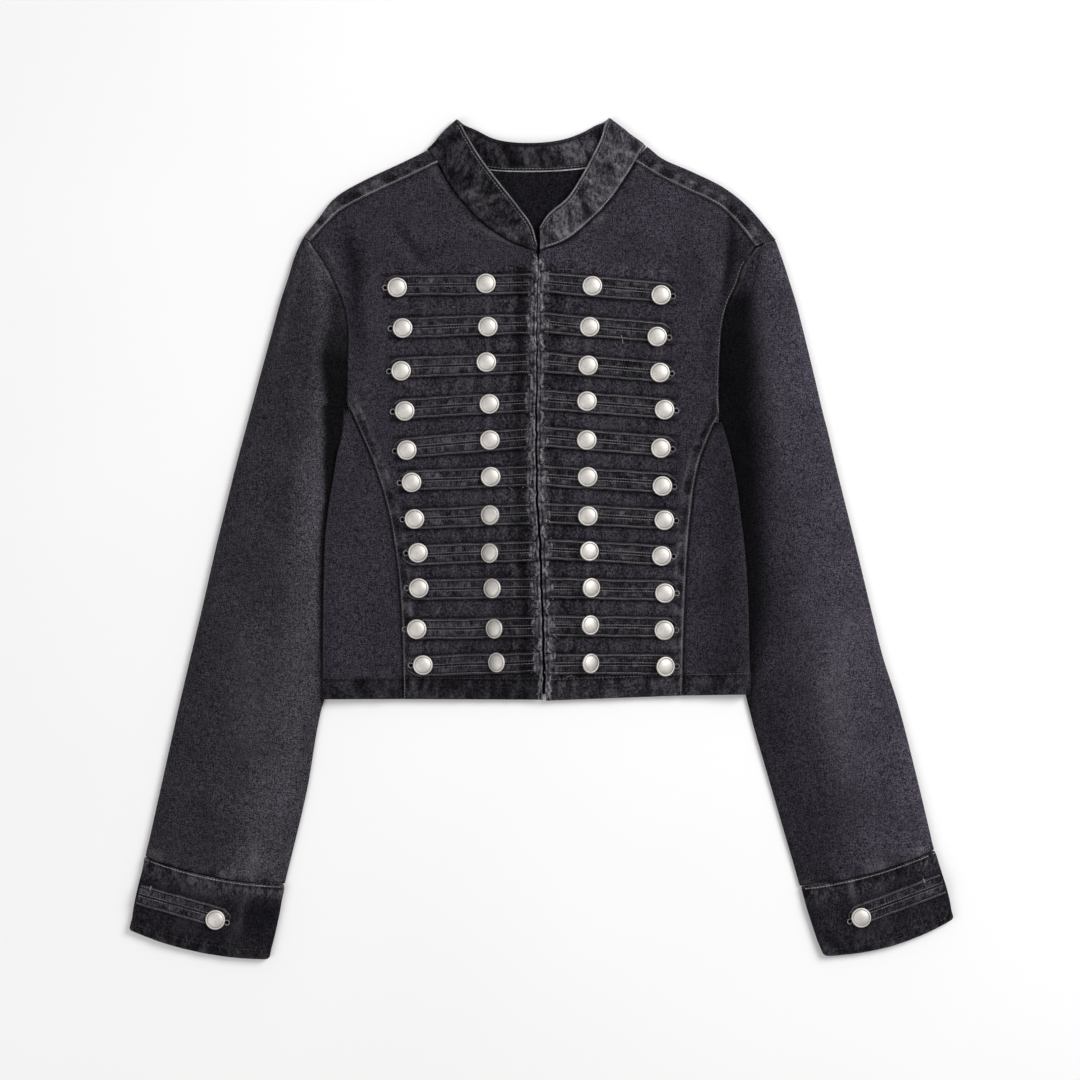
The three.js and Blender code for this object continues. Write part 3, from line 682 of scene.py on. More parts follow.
def add_threads(name, starts, ends, width, height, material):
    """Short threads as slim spindles from start to end, each with ten points."""
    starts, ends = np.array(starts, float), np.array(ends, float)
    along = ends - starts
    along /= np.maximum(np.linalg.norm(along, axis=1, keepdims=True), 1e-9)
    side = np.cross(along, [0, 0, 1.0])
    side /= np.maximum(np.linalg.norm(side, axis=1, keepdims=True), 1e-9)
    up = np.cross(side, along)
    rings = []
    for share in (0.22, 0.78):
        middle = starts + (ends - starts) * share
        for u, v in ((1, 0), (0, 1), (-1, 0), (0, -1)):
            rings.append(middle + side * u * width / 2 + up * v * height / 2)
    vertices = np.stack([starts, *rings, ends], axis=1).reshape(-1, 3)
    vertices[:, 2] = np.maximum(vertices[:, 2], THREAD_GAP)
    pattern = [(0, 1 + (k + 1) % 4, 1 + k) for k in range(4)]
    pattern += [(1 + k, 1 + (k + 1) % 4, 5 + (k + 1) % 4, 5 + k) for k in range(4)]
    pattern += [(9, 5 + k, 5 + (k + 1) % 4) for k in range(4)]
    faces = [tuple(10 * n + v for v in face) for n in range(len(starts)) for face in pattern]
    return add_object(name, vertices, faces, material, ())


class Stitches:
    """Collects stitches, then makes them into one object."""

    def __init__(self):
        self.starts, self.ends = [], []

    def row(self, path, pitch, length, lift=0.12, seed=1):
        """Stitches along a line of points on the cloth."""
        path = np.asarray(path, float)
        reach = lengths(path)
        rng = np.random.default_rng(seed)
        start = pitch * 0.3
        while start + length < reach[-1]:
            shift = rng.uniform(-0.12, 0.12, 2)
            for bucket, place in ((self.starts, start), (self.ends, start + length)):
                p = np.array([np.interp(place, reach, path[:, k]) for k in range(3)])
                p[:2] += shift
                p[2] += lift
                bucket.append(p)
            start += pitch * rng.uniform(0.96, 1.05)

    def make(self, name, width, height=0.6, material=THREAD):
        return add_threads(name, self.starts, self.ends, width, height, material)


def stitch_line(name, path, pitch, length, lift, seed, width, material):
    """One row of stitches as an object of its own."""
    stitches = Stitches()
    stitches.row(path, pitch, length, lift, seed)
    stitches.make(name, width, material=material)


# Panels
def stacked(tables, name_x, name_y):
    """The points of two columns, table after table."""
    x = np.concatenate([t[name_x] for t in tables])
    y = np.concatenate([t[name_y] for t in tables])
    return np.stack([x, y], axis=1)


def turned(rows):
    """A table from its last row to its first."""
    return {name: column[::-1] for name, column in rows.items()}


def shoulder_line(side, shares, which):
    """Points on the shoulder's fold or its forward seam."""
    rows = SIDES[side]["shoulder"]
    knots = np.linspace(0, 1, len(rows["foldX"]))
    return spline(knots, np.stack([rows[which + "X"], rows[which + "Y"]], axis=1), shares)


def shoulder_inward(side, shares):
    """The way from the shoulder's fold to its seam."""
    way = shoulder_line(side, shares, "seam") - shoulder_line(side, shares, "fold")
    return way / np.linalg.norm(way, axis=1, keepdims=True)


PITCH = 1.8


def fan_grid(inner, outer, dips, fan, top_line, columns):
    """Rows from an inner to an outer line, the last ones fanned to meet the top line."""
    shares = np.linspace(0, 1, columns)
    grid = inner[:, None, :] * (1 - shares)[None, :, None] + outer[:, None, :] * shares[None, :, None]
    grid = grid + (top_line - grid[-1])[None] * (fan[:, None, None] ** 2)
    fall = dips[:, None] * np.maximum(0, (shares - 0.72) / 0.28)[None, :]
    return grid, fall


def front_grid(side):
    """The front panel, from its hem to the shoulder seam."""
    s = SIDES[side]
    lower, armhole, neck = turned(s["lower"]), s["armhole"], s["neck"]
    first_neck = one_row(neck, slice(1))
    inner = np.concatenate([
        stacked([lower, armhole], "edgeX", "edgeY"), stacked([first_neck], "neckX", "neckY")])
    outer = np.concatenate([
        stacked([lower], "princessX", "princessY"), stacked([armhole], "seamX", "seamY"),
        stacked([first_neck], "endX", "endY")])
    dips = np.concatenate([np.zeros(len(lower["edgeX"])), np.full(len(armhole["edgeX"]) + 1, ARMHOLE_DIP)])
    knots = lengths((inner + outer) / 2)
    places = np.linspace(0, knots[-1], int(knots[-1] / PITCH) + 1)
    below = [spline(knots, v, places) for v in (inner, outer, dips)]
    neck_line = stacked([neck], "neckX", "neckY")
    ends = stacked([neck], "endX", "endY")
    knots = lengths(neck_line)
    places = np.linspace(0, knots[-1], int(knots[-1] / PITCH) + 1)[1:]
    share = places / knots[-1]
    above = [spline(knots, neck_line, places), spline(knots, ends, places),
             (ARMHOLE_DIP * (1 - share))[:, None]]
    inner, outer, dips = (np.concatenate([a, b]) for a, b in zip(below, above))
    fan = np.concatenate([np.zeros(len(below[0])), share])
    columns = int(160 / PITCH)
    shares = np.linspace(0, 1, columns)
    top = shoulder_line(side, shares, "seam") + LAYER_GAP * shoulder_inward(side, shares)
    grid, fall = fan_grid(inner, outer, np.clip(dips[:, 0], 0, None), fan, top, columns)
    return np.concatenate([grid, (FRONT_TOP - fall)[..., None]], axis=2)


def hem_band(cloth, x, round_fold, from_hem, seed, on_band, above, dark):
    """The doubled hem, drawn up by its stitching. Each pucker row: spacing, relief, wear and shade."""
    hem = 1 - ease(from_hem, 17.5, 20)
    cloth.relief += 0.45 * hem
    cloth.pucker(hem, round_fold, from_hem, on_band[0], seed, *on_band[1:])
    cloth.pucker((1 - ease(from_hem, 18, 32)) * (1 - hem), x, from_hem, above[0], seed + 1, *above[1:])
    cloth.crinkle += 0.6 * hem
    cloth.darken(dark * hem)


def hem_edge(cloth, x, y, from_hem, seed):
    """The hem's worn edge and the dark line under its stitches."""
    cloth.wear += 0.4 * (1 - ease(from_hem, 0.5, 2.6)) * (0.6 + 0.4 * noise(x / 7, y, seed))
    cloth.darken(0.55 * bell(from_hem, HEM_STITCHES - 1.2, 1.2))


def low_right(x, y):
    """Grows towards the lower right end of the front edge, where the cloth is darker."""
    return (1 - ease(y, -115, -20)) * (1 - ease(np.abs(x), 50, 95))


def add_front(side):
    s = SIDES[side]
    out = s["out"]
    grid = front_grid(side)
    deep = press_creases(grid, BODY_CREASES[side])
    x, y = grid[..., 0], grid[..., 1]
    grid[..., 2] += 0.45 * noise(x / 34, y / 46, 11 + out) * ease(y, -120, -80)
    cloth = Cloth(grid, (20, 20))
    from_seam = run(grid, 1, from_end=True)
    from_edge = run(grid, 1)
    from_hem = run(grid, 0)
    from_shoulder = run(grid, 0, from_end=True)
    from_neck = np.where(y > 246, from_edge, 99.0)
    seed = 20 + out
    # the ground between the straps is drawn up by their stitching
    strap_end = np.interp(y, s["straps"]["tipY"][::-1], np.abs(s["straps"]["tipX"])[::-1])
    behind_straps = ease(strap_end - 4 - np.abs(x), 0, 8) * ease(240 - y, 0, 8) * ease(y, -128, -118)
    from_edge_x = np.abs(x - grid[:, :1, 0])
    drawn = behind_straps * (0.6 + 0.4 * (1 - ease(from_edge_x, 22, 40)))
    cloth.pucker(drawn, x, y, 3.8, seed + 1, relief=0.45, wear=0.26, shade=0.5)
    cloth.crinkle += 0.85 * drawn
    tip = np.stack([s["straps"]["tipX"], s["straps"]["tipY"]], axis=1)
    for k, edge_y in enumerate(s["straps"]["edgeY"]):
        line = edge_y + (tip[k, 1] - edge_y) * np.abs(x / tip[k, 0])
        beside_strap = np.abs(y - line) - STRAP_WIDTH / 2
        # painted shadow on the ground along both edges of each strap
        cloth.darken(0.72 * bell(beside_strap, 0, 1.7) * (np.abs(x) < np.abs(tip[k, 0])))
    old_line = -46.5 if side == "right" else 39.5
    cloth.wear += 0.22 * behind_straps * bell(x, old_line, 1.6)
    if side == "right":
        cloth.wear += 0.8 * np.exp(-(((x - old_line) / 0.9) ** 2) - ((y - 198.5) / 3.2) ** 4)
    # painted shade in the groove that runs beside the front edge, behind the straps
    beside_edge = np.exp(-(((from_edge_x - 13.5) / (5.2 if side == "right" else 4.5)) ** 2))
    cloth.darken((0.72 if side == "right" else 0.4) * behind_straps * beside_edge)
    cloth.relief -= 0.4 * behind_straps * beside_edge
    ragged = ease(noise(x / 2, y / 2.5, seed + 13), 0, 0.6)
    cloth.wear += 0.7 * behind_straps * (1 - ease(from_edge_x, 4, 9)) * ragged
    # the seam allowance lies under the front, beside the princess seam and the armhole
    low_part = ease(126 - y, 0, 10)
    high_part = ease(y, 205, 225) if side == "right" else 0.0
    edge_wear = 0.28 if side == "right" else 0.6
    allowance = (1 - ease(from_seam, 8, 10)) * ease(from_seam, 0.4, 2.0)
    cloth.relief += 0.5 * allowance * (0.35 + 0.65 * low_part)
    cloth.pucker(allowance * (0.2 + 0.8 * low_part), y, from_seam, 6.5, seed + 2, 0.3, 0.45, 0.6)
    cloth.wear += 0.5 * bell(from_seam, 9, 1.3) * (0.1 + 0.7 * low_part + 0.5 * high_part) * (
        0.5 + 0.5 * noise(y / 9, 0 * y, seed + 8))
    cloth.wear += edge_wear * bell(from_seam, 1.4, 1.3) * low_part
    cloth.darken(0.4 * bell(from_seam, 4.2, 1.6) * low_part)
    cloth.crinkle += 0.5 * allowance * low_part
    hem_band(cloth, x, x, from_hem, seed + 4, (5.0, 0.5, 0.32, 0.6), (6.0, 0.25, 0.15, 0.4),
             0.45 if side == "right" else 0.12)
    if side == "right":
        cloth.shade *= 1 - 0.22 * low_right(x, y)
    if side == "left":
        cloth.shade *= 1 + 0.18 * ease(y, 190, 225)
        # painted shade of the crease beside the left armhole
        beside_armhole = ease(x, 152, 160) * ease(y, 186, 208)
        cloth.darken(0.5 * beside_armhole * (1 - ease(y, 245, 282)))
        cloth.wear += 0.5 * bell(from_seam, 0.9, 0.9) * ease(y, 190, 215)
    hem_edge(cloth, x, y, from_hem, seed + 6)
    # soft puckers below the collar
    by_neck = (1 - ease(from_neck, 3, 15)) * ease(y, 248, 256)
    cloth.pucker(by_neck, y + x * 0.4, from_neck, 7.5, seed + 9, 0.35, 0.3, 0.35)
    # painted shade along the collar seam, and along the shoulder, princess and armhole seams
    cloth.darken(0.55 * (1 - ease(from_neck, 0.8, 3.2)) * ease(y, 246, 252))
    cloth.darken(0.6 * (1 - ease(from_shoulder, 0.2, 2.4)) + 0.5 * (1 - ease(from_seam, 0, 1.2)))
    cloth.crinkle += 0.3 * by_neck
    # painted shade in the troughs of the creases
    cloth.shade *= 1 - 0.34 * np.clip(deep, 0, 2.2)
    cloth.wear += 0.10 * np.clip(-deep, 0, 2)
    cloth.relief[:, -1] -= 0.4
    cloth.relief[0] -= 0.5
    cloth.relief[:, 0] -= 0.4
    obj = add_cloth(f"front_{side}_cloth", cloth, cloth.behind(CLOTH), DENIM["body"], [f"front_{side}"],
                    back_fields=False)
    surface = cloth.surface()
    seam_row = at_distance(surface, from_seam, 1.5)
    underarm = np.argmin(np.abs(grid[:, -1, 1] - 108))
    last = np.argmin(np.abs(grid[:, -1, 1] - 241))
    princess, armhole, hem = SEAM_THREADS[side]
    stitch_line(f"stitches_princess_{side}", seam_row[:underarm], 2.5, 2.3, 0.12, seed, 0.62, princess)
    stitch_line(f"stitches_armhole_{side}", seam_row[underarm:last], 2.7, 2.2, 0.02, seed + 1, 0.55, armhole)
    hem_row = at_distance(surface.transpose(1, 0, 2), from_hem.T, HEM_STITCHES)
    stitch_line(f"stitches_hem_{side}", hem_row, *HEM_ROW, seed + 2, 0.5, hem)


def section_rows(sections, columns_at, row_knots, pitch):
    """Sections of equal point count, made smooth round each and then from one to the next."""
    smooth = []
    for section in sections:
        reach = lengths(section)
        smooth.append(spline(reach, section, np.interp(columns_at, np.arange(len(section)), reach)))
    smooth = np.array(smooth)
    places = np.linspace(0, row_knots[-1], int(row_knots[-1] / pitch) + 1)
    flat = spline(row_knots, smooth.reshape(len(smooth), -1), places)
    return flat.reshape(len(places), len(columns_at), 3)


def spaced(*parts):
    """Places from part to part: (from, to, how many steps)."""
    runs = [np.linspace(a, b, n, endpoint=False) for a, b, n in parts]
    return np.concatenate([*runs, [parts[-1][1]]])


def side_grid(side):
    """The side panel, from the princess seam round the fold and back under."""
    s = SIDES[side]
    lower, inward = s["lower"], -s["out"]
    sections = []
    for k in range(len(lower["foldX"])):
        r = one_row(lower, k)
        high = FRONT_TOP + (SIDE_TOP - FRONT_TOP) * r["lift"]
        low = SIDE_UNDERSIDE * r["lift"]
        radius, middle = (high - low) / 2, (high + low) / 2
        start = (r["princessX"] - inward * 0.15, r["princessY"], FRONT_TOP)
        turn = r["foldX"] + inward * radius
        section = [start]
        for share, rise in ((0.3, 0.5), (0.6, 0.85)):
            section.append((start[0] + (turn - start[0]) * share,
                            start[1] + (r["foldY"] - start[1]) * share,
                            FRONT_TOP + (high - FRONT_TOP) * rise))
        for degrees in (90, 45, 0, -45, -90):
            angle = math.radians(degrees)
            section.append((r["foldX"] + inward * (radius - radius * math.cos(angle)), r["foldY"],
                            middle + radius * math.sin(angle)))
        for distance, z in ((12, low), (30, 0.0), (SIDE_TURN_UNDER, 0.0)):
            section.append((r["foldX"] + inward * distance, r["foldY"], z))
        sections.append(np.array(section))
    line = np.stack([lower["foldX"], lower["foldY"]], axis=1)
    columns = spaced((0, 3, 30), (3, 7, 14), (7, 10, 12))
    return section_rows(sections, columns, lengths(line), PITCH)


def add_side(side):
    s = SIDES[side]
    out = s["out"]
    grid = side_grid(side)
    x, y = grid[..., 0], grid[..., 1]
    on_top = 1 - ease(np.arange(grid.shape[1]), 30, 36)[None, :]
    grid[..., 2] += 0.5 * noise(x / 16, y / 40, 31 + out) * on_top * ease(y, -115, -90)
    if out < 0:
        bend = table(CREASE, (-168, -30, -160, -70, -165, -118, 7, 0.6),
                     (-150, 40, -148, -10, -140, -60, 8, -0.4))
    else:
        bend = table(CREASE, (150, 50, 146, 0, 150, -60, 7, 0.6),
                     (166, -20, 160, -70, 166, -120, 6, -0.5))
    press_creases(grid, bend, on_top)
    cloth = Cloth(grid, (grid.shape[0] // 2, 5))
    from_seam = run(grid, 1)
    from_hem = run(grid, 0, from_end=True)
    from_fold = np.abs(run(grid, 1) - run(grid, 1)[:, 37:38])
    seed = 40 + out
    hem_band(cloth, x, x + grid[..., 2], from_hem, seed, (5.5, 0.5, 0.32, 0.6), (7, 0.2, 0.12, 0.3),
             0.5 if side == "right" else 0.12)
    cloth.shade *= 0.98 if side == "right" else np.interp(x, [128, 160, 178], [0.95, 0.62, 0.8])
    hem_edge(cloth, x, y, from_hem, seed + 6)
    # painted shade in the princess seam's gap
    cloth.darken(0.8 * (1 - ease(from_seam, 0.3, 2.6)))
    # painted shade at the top of the side panel, where it goes under the sleeve
    underarm = s["lower"]["foldY"][0]
    cloth.darken(0.6 * ease(y, underarm - 10, underarm) * on_top)
    cloth.relief -= 0.7 * (1 - ease(from_seam, 0, 2.0))
    cloth.wear += 0.16 * bell(from_fold, 0, 2.5) * ease(112 - y, 0, 20)
    cloth.relief[:, -1] -= 0.3
    cloth.relief[-1] -= 0.5
    obj = add_cloth(f"side_{side}_cloth", cloth, cloth.behind(CLOTH), DENIM["body"], [f"side_{side}"],
                    back_fields=False)
    surface = cloth.surface()
    hem_row = at_distance(surface.transpose(1, 0, 2), from_hem.T, HEM_STITCHES)
    stitch_line(f"stitches_side_{side}", hem_row[1:38], *HEM_ROW, seed, 0.5, SEAM_THREADS[side][2])


def across_tube(outer, inner, bow):
    """The width of a flattened tube that may bow, and the place at a distance from its outer fold."""
    outer, inner = np.array(outer, float), np.array(inner, float)
    width = np.linalg.norm(inner - outer)
    across = (inner - outer) / width
    sag = np.array([across[1], -across[0]])
    if sag[1] > 0:
        sag = -sag

    def at(distance, z):
        t = distance / width
        return (*(outer + across * distance + sag * 4 * bow * t * (1 - t)), z)

    return width, at


def sleeve_section(outer, inner, loose, bow, inner_top):
    """One section of a sleeve, from its inner seam over the top, round the fold and back under."""
    width, at = across_tube(outer, inner, bow)
    inner_radius, outer_radius = SLEEVE_VALLEY / 2, FRONT_TOP / 2
    inner_reach, outer_reach = min(inner_radius, 0.15 * width), min(outer_radius, 0.3 * width)

    def inner_arc(degrees, seam_z):
        angle = math.radians(degrees)
        z = inner_radius + inner_radius * math.sin(angle)
        return at(width - inner_reach + inner_reach * math.cos(angle), z if loose else seam_z)

    crown = min(SLEEVE_TOP, FRONT_TOP + width / 200)
    valley = SLEEVE_VALLEY if loose else inner_top
    section = [inner_arc(5, inner_top), inner_arc(40, inner_top), inner_arc(90, inner_top)]
    section.append(at(max(width - 12, width * 0.7), valley))
    section.append(at(max(width - 32, width * 0.55), crown))
    for degrees in (90, 45, 0, -45, -90):
        angle = math.radians(degrees)
        section.append(at(outer_reach - outer_reach * math.cos(angle),
                          outer_radius + outer_radius * math.sin(angle)))
    section.append(at(width * 0.55, 0.0))
    section += [inner_arc(-90, 0.0), inner_arc(-40, 0.0), inner_arc(-5, 0.0)]
    return np.array(section)


def sleeve_grid(side):
    """The sleeve, from its cap to the cuff."""
    s = SIDES[side]
    out, armhole, neck, arm = s["out"], s["armhole"], s["neck"], s["sleeve"]
    tip = (s["capTip"][0] - out * 0.8, s["capTip"][1] + 1.6)
    sections = [sleeve_section(tip, (neck["endX"][-1] + out * 0.5, neck["endY"][-1] - 0.6), False, 0,
                               FRONT_TOP)]
    line = [s["capTip"]]
    for k in reversed(range(len(armhole["seamX"]))):
        outer = (armhole["outerX"][k], armhole["outerY"][k])
        inner = (armhole["seamX"][k] + out * LAYER_GAP, armhole["seamY"][k])
        sections.append(sleeve_section(outer, inner, False, 0, FRONT_TOP - ARMHOLE_DIP))
        line.append(outer)
    for k in range(len(arm["outerX"])):
        outer = (arm["outerX"][k], arm["outerY"][k])
        tuck = np.interp(arm["innerY"][k], [50, 68, 92], [0, 1.2, 5.0])
        inner = (arm["innerX"][k] - out * tuck, arm["innerY"][k])
        sections.append(sleeve_section(outer, inner, True, arm["bow"][k], SLEEVE_VALLEY))
        line.append(outer)
    columns = spaced((0, 2, 4), (2, 3, 5), (3, 4, 10), (4, 5, 42), (5, 9, 14), (9, 11, 12), (11, 13, 4))
    grid = section_rows(sections, columns, lengths(np.array(line)), 2.4)
    grid[..., 2] = np.clip(grid[..., 2], 0, SLEEVE_TOP + 1.2)
    return grid


# Painted shade where a sleeve sinks beside the body: how wide it is dark, how far it then fades, and how
# dark it is.
# across and tone give painted light over the sleeve, from its outer fold to its inner one: lighter towards
# +X, where the light comes from.
SLEEVE_SHADE = {
    "right": {
        "y": np.array([-150, -110, -52, 34, 103, 155, 206, 240]),
        "dark": np.array([0, 1, 2, 3, 14, 19, 5, 0]),
        "ramp": np.array([3, 3, 4, 4, 7, 10, 18, 8]),
        "deepest": np.array([0.7, 0.22, 0.16, 0.12, 0.08, 0.10, 0.42, 0.8]),
        "across": [0, 0.08, 0.35, 0.55, 0.72, 0.85, 1], "tone": [1.0, 0.9, 0.95, 1.05, 1.7, 1.7, 1.35],
    },
    "left": {
        "y": np.array([-150, -110, -52, 34, 103, 155, 206, 227]),
        "dark": np.array([0, 2, 5, 7, 18, 20, 14, 0]),
        "ramp": np.array([6, 12, 20, 26, 34, 32, 14, 8]),
        "deepest": np.array([0.7, 0.22, 0.16, 0.12, 0.12, 0.12, 0.18, 0.8]),
        "across": [0, 0.1, 0.3, 0.45, 0.62, 0.8, 1], "tone": [1.7, 1.65, 1.5, 1.4, 1.05, 0.75, 0.65],
    },
}
SLEEVE_TOP_COLUMNS = 61
SLEEVE_FOLD_COLUMN = 68


def add_sleeve(side):
    s = SIDES[side]
    out = s["out"]
    grid = sleeve_grid(side)
    count = grid.shape[1]
    column = np.arange(count)[None, :]
    on_top = ease(column, 8, 14) * (1 - ease(column, 58, 64))
    deep = press_creases(grid, SLEEVE_CREASES[side], on_top)
    underside = ease(column, 72, 78) * (1 - ease(column, count - 9, count - 5))
    deep_under = press_creases(grid, SLEEVE_CREASES[side], -0.9 * underside)
    x, y = grid[..., 0], grid[..., 1]
    grid[..., 2] += 0.5 * noise(x / 26, y / 60, 51 + out) * on_top
    # how far across the visible top each point lies, from the outer fold inwards
    wide = np.abs(x[:, SLEEVE_FOLD_COLUMN:SLEEVE_FOLD_COLUMN + 1] - x[:, :1])
    across = np.clip(np.abs(x - x[:, SLEEVE_FOLD_COLUMN:SLEEVE_FOLD_COLUMN + 1]) / wide, 0, 1)
    crown = np.sin(np.pi * across) ** 0.8 * on_top * ease(y, -262, -225) * (1 - ease(y, 215, 250))
    grid[..., 2] += 2.4 * crown
    body = np.concatenate([s["lower"]["foldY"][::-1], s["armhole"]["seamY"] + 1.0])
    body_x = np.concatenate([s["lower"]["foldX"][::-1], s["armhole"]["seamX"]])
    from_body = np.abs(x) - np.interp(y, body, np.abs(body_x))
    sink = SLEEVE_SHADE[side]
    dark, ramp, deepest = (np.interp(y, sink["y"], sink[key]) for key in ("dark", "ramp", "deepest"))
    shadow = 1 - ease(from_body, dark, dark + ramp)
    pressed = grid[..., 2] - 3.2 * shadow * on_top * (1 - ease(y, 150, 220))
    grid[..., 2] = np.maximum(pressed, np.minimum(grid[..., 2], 3.3))
    cloth = Cloth(grid, (grid.shape[0] // 2, 40))
    around = run(grid, 1)
    along = run(grid, 0)
    from_fold = np.abs(around - around[:, SLEEVE_FOLD_COLUMN:SLEEVE_FOLD_COLUMN + 1])
    from_cuff = run(grid, 0, from_end=True)
    seed = 60 + out
    visible = (column < SLEEVE_TOP_COLUMNS + 8)
    # painted shade where the sleeve sinks beside the body, and painted light over its top, lighter on the
    # side towards +X
    cloth.darken((1 - deepest) * shadow * visible)
    cloth.shade *= np.where(visible, np.interp(across, sink["across"], sink["tone"]), 0.9)
    cloth.wear += 0.15 * bell(from_fold, 0, 2.2) * (0.7 + 0.6 * noise(along / 14, along / 90, seed))
    cuff_part = (1 - ease(from_cuff, 2, 16)) * visible
    cloth.pucker(cuff_part, around, from_cuff, 8.5, seed + 2, 0.3, 0.28, 0.4)
    cloth.crinkle += 0.3 * cuff_part
    # painted shade where the sleeve goes under the cuff
    cloth.darken(0.45 * (1 - ease(from_cuff, 0.3, 1.6)))
    armhole_part = (1 - ease(around, 1, 10)) * ease(y, 120, 150)
    cloth.pucker(armhole_part, along, around, 8, seed + 3, 0.25, 0.2, 0.25)
    # painted shade along the armhole seam
    cloth.darken(0.6 * (1 - ease(around, 0, 1.4)) * ease(y, 110, 120))
    cloth.wear += 0.35 * bell(around, 2.2, 0.9) * ease(y, 190, 220) * visible
    cloth.wear += 0.16 * np.clip(-deep, 0, 1)
    # painted shade in the crease troughs, on the top and on the underside
    cloth.shade *= 1 - 0.16 * np.clip(deep, 0, 2.5) - 0.25 * np.clip(-deep_under, 0, 1.5)
    cloth.relief[0] -= 0.4
    obj = add_cloth(f"sleeve_{side}_cloth", cloth, cloth.behind(CLOTH), DENIM[f"sleeve_{side}"],
                    [f"sleeve_{side}"], back_fields=False)


def back_grid(side):
    """Half of the back: flat behind, then round the shoulder fold, and how many rows that turn has."""
    s = SIDES[side]
    inward = -s["out"]
    lower, armhole, neck = turned(s["lower"]), s["armhole"], s["neck"]
    outer = np.concatenate([
        np.stack([lower["foldX"] + inward * (SIDE_TURN_UNDER + LAYER_GAP), lower["foldY"]], axis=1),
        np.stack([armhole["seamX"] + inward, armhole["seamY"]], axis=1),
        np.stack([neck["endX"][:1] + inward, neck["endY"][:1]], axis=1)])
    middle = FRONT_GAP_X
    inner = np.stack([np.full(len(outer), middle), outer[:, 1]], axis=1)
    inner[-1, 1] = NECK_LOW - COLLAR_WALL / 2
    inner[-8:, 1] = np.linspace(inner[-9, 1] + 20, inner[-1, 1], 8)
    knots = lengths((inner + outer) / 2)
    pitch = 3.6
    places = np.linspace(0, knots[-1], int(knots[-1] / pitch) + 1)
    below = [spline(knots, v, places) for v in (inner, outer)]
    shares = np.linspace(-0.02, 1, 52)
    fold = shoulder_line(side, shares, "fold")
    way = shoulder_inward(side, shares)
    radius = FRONT_TOP / 2
    flat_top = fold + way * (radius + 6)
    collar_x = COLLAR_BACK["seamX"][3:-3]
    keep = collar_x < middle - 2 if side == "right" else collar_x > middle + 2
    rim = np.stack([collar_x, COLLAR_BACK["seamY"][3:-3] - COLLAR_WALL / 2], axis=1)[keep]
    rim = rim[np.argsort(np.abs(rim[:, 0]))]
    neck_line = np.concatenate([below[0][-1:], rim, flat_top[:1]])
    ends = np.linspace(below[1][-1], flat_top[-1], len(neck_line))
    knots = lengths(neck_line)
    places = np.linspace(0, knots[-1], int(knots[-1] / pitch) + 1)[1:]
    share = places / knots[-1]
    above = [spline(knots, neck_line, places), spline(knots, ends, places)]
    inner, outer = (np.concatenate([a, b]) for a, b in zip(below, above))
    fan = np.concatenate([np.zeros(len(below[0])), share])
    grid, _ = fan_grid(inner, outer, np.zeros(len(inner)), fan, flat_top, len(shares))
    flat = np.concatenate([grid, np.zeros((*grid.shape[:2], 1))], axis=2)
    wrap = []
    for degrees in np.linspace(-90, 90, 10):
        angle = math.radians(degrees)
        place = fold + way * (radius - radius * math.cos(angle))
        wrap.append(np.column_stack([place, np.full(len(place), radius + radius * math.sin(angle))]))
    seam = shoulder_line(side, shares, "seam")
    for share in np.linspace(0, 1, 9)[1:]:
        place = wrap[9][:, :2] * (1 - share) + seam * share
        wrap.append(np.column_stack([place, np.full(len(place), FRONT_TOP)]))
    return np.concatenate([flat, np.array(wrap)]), len(wrap)


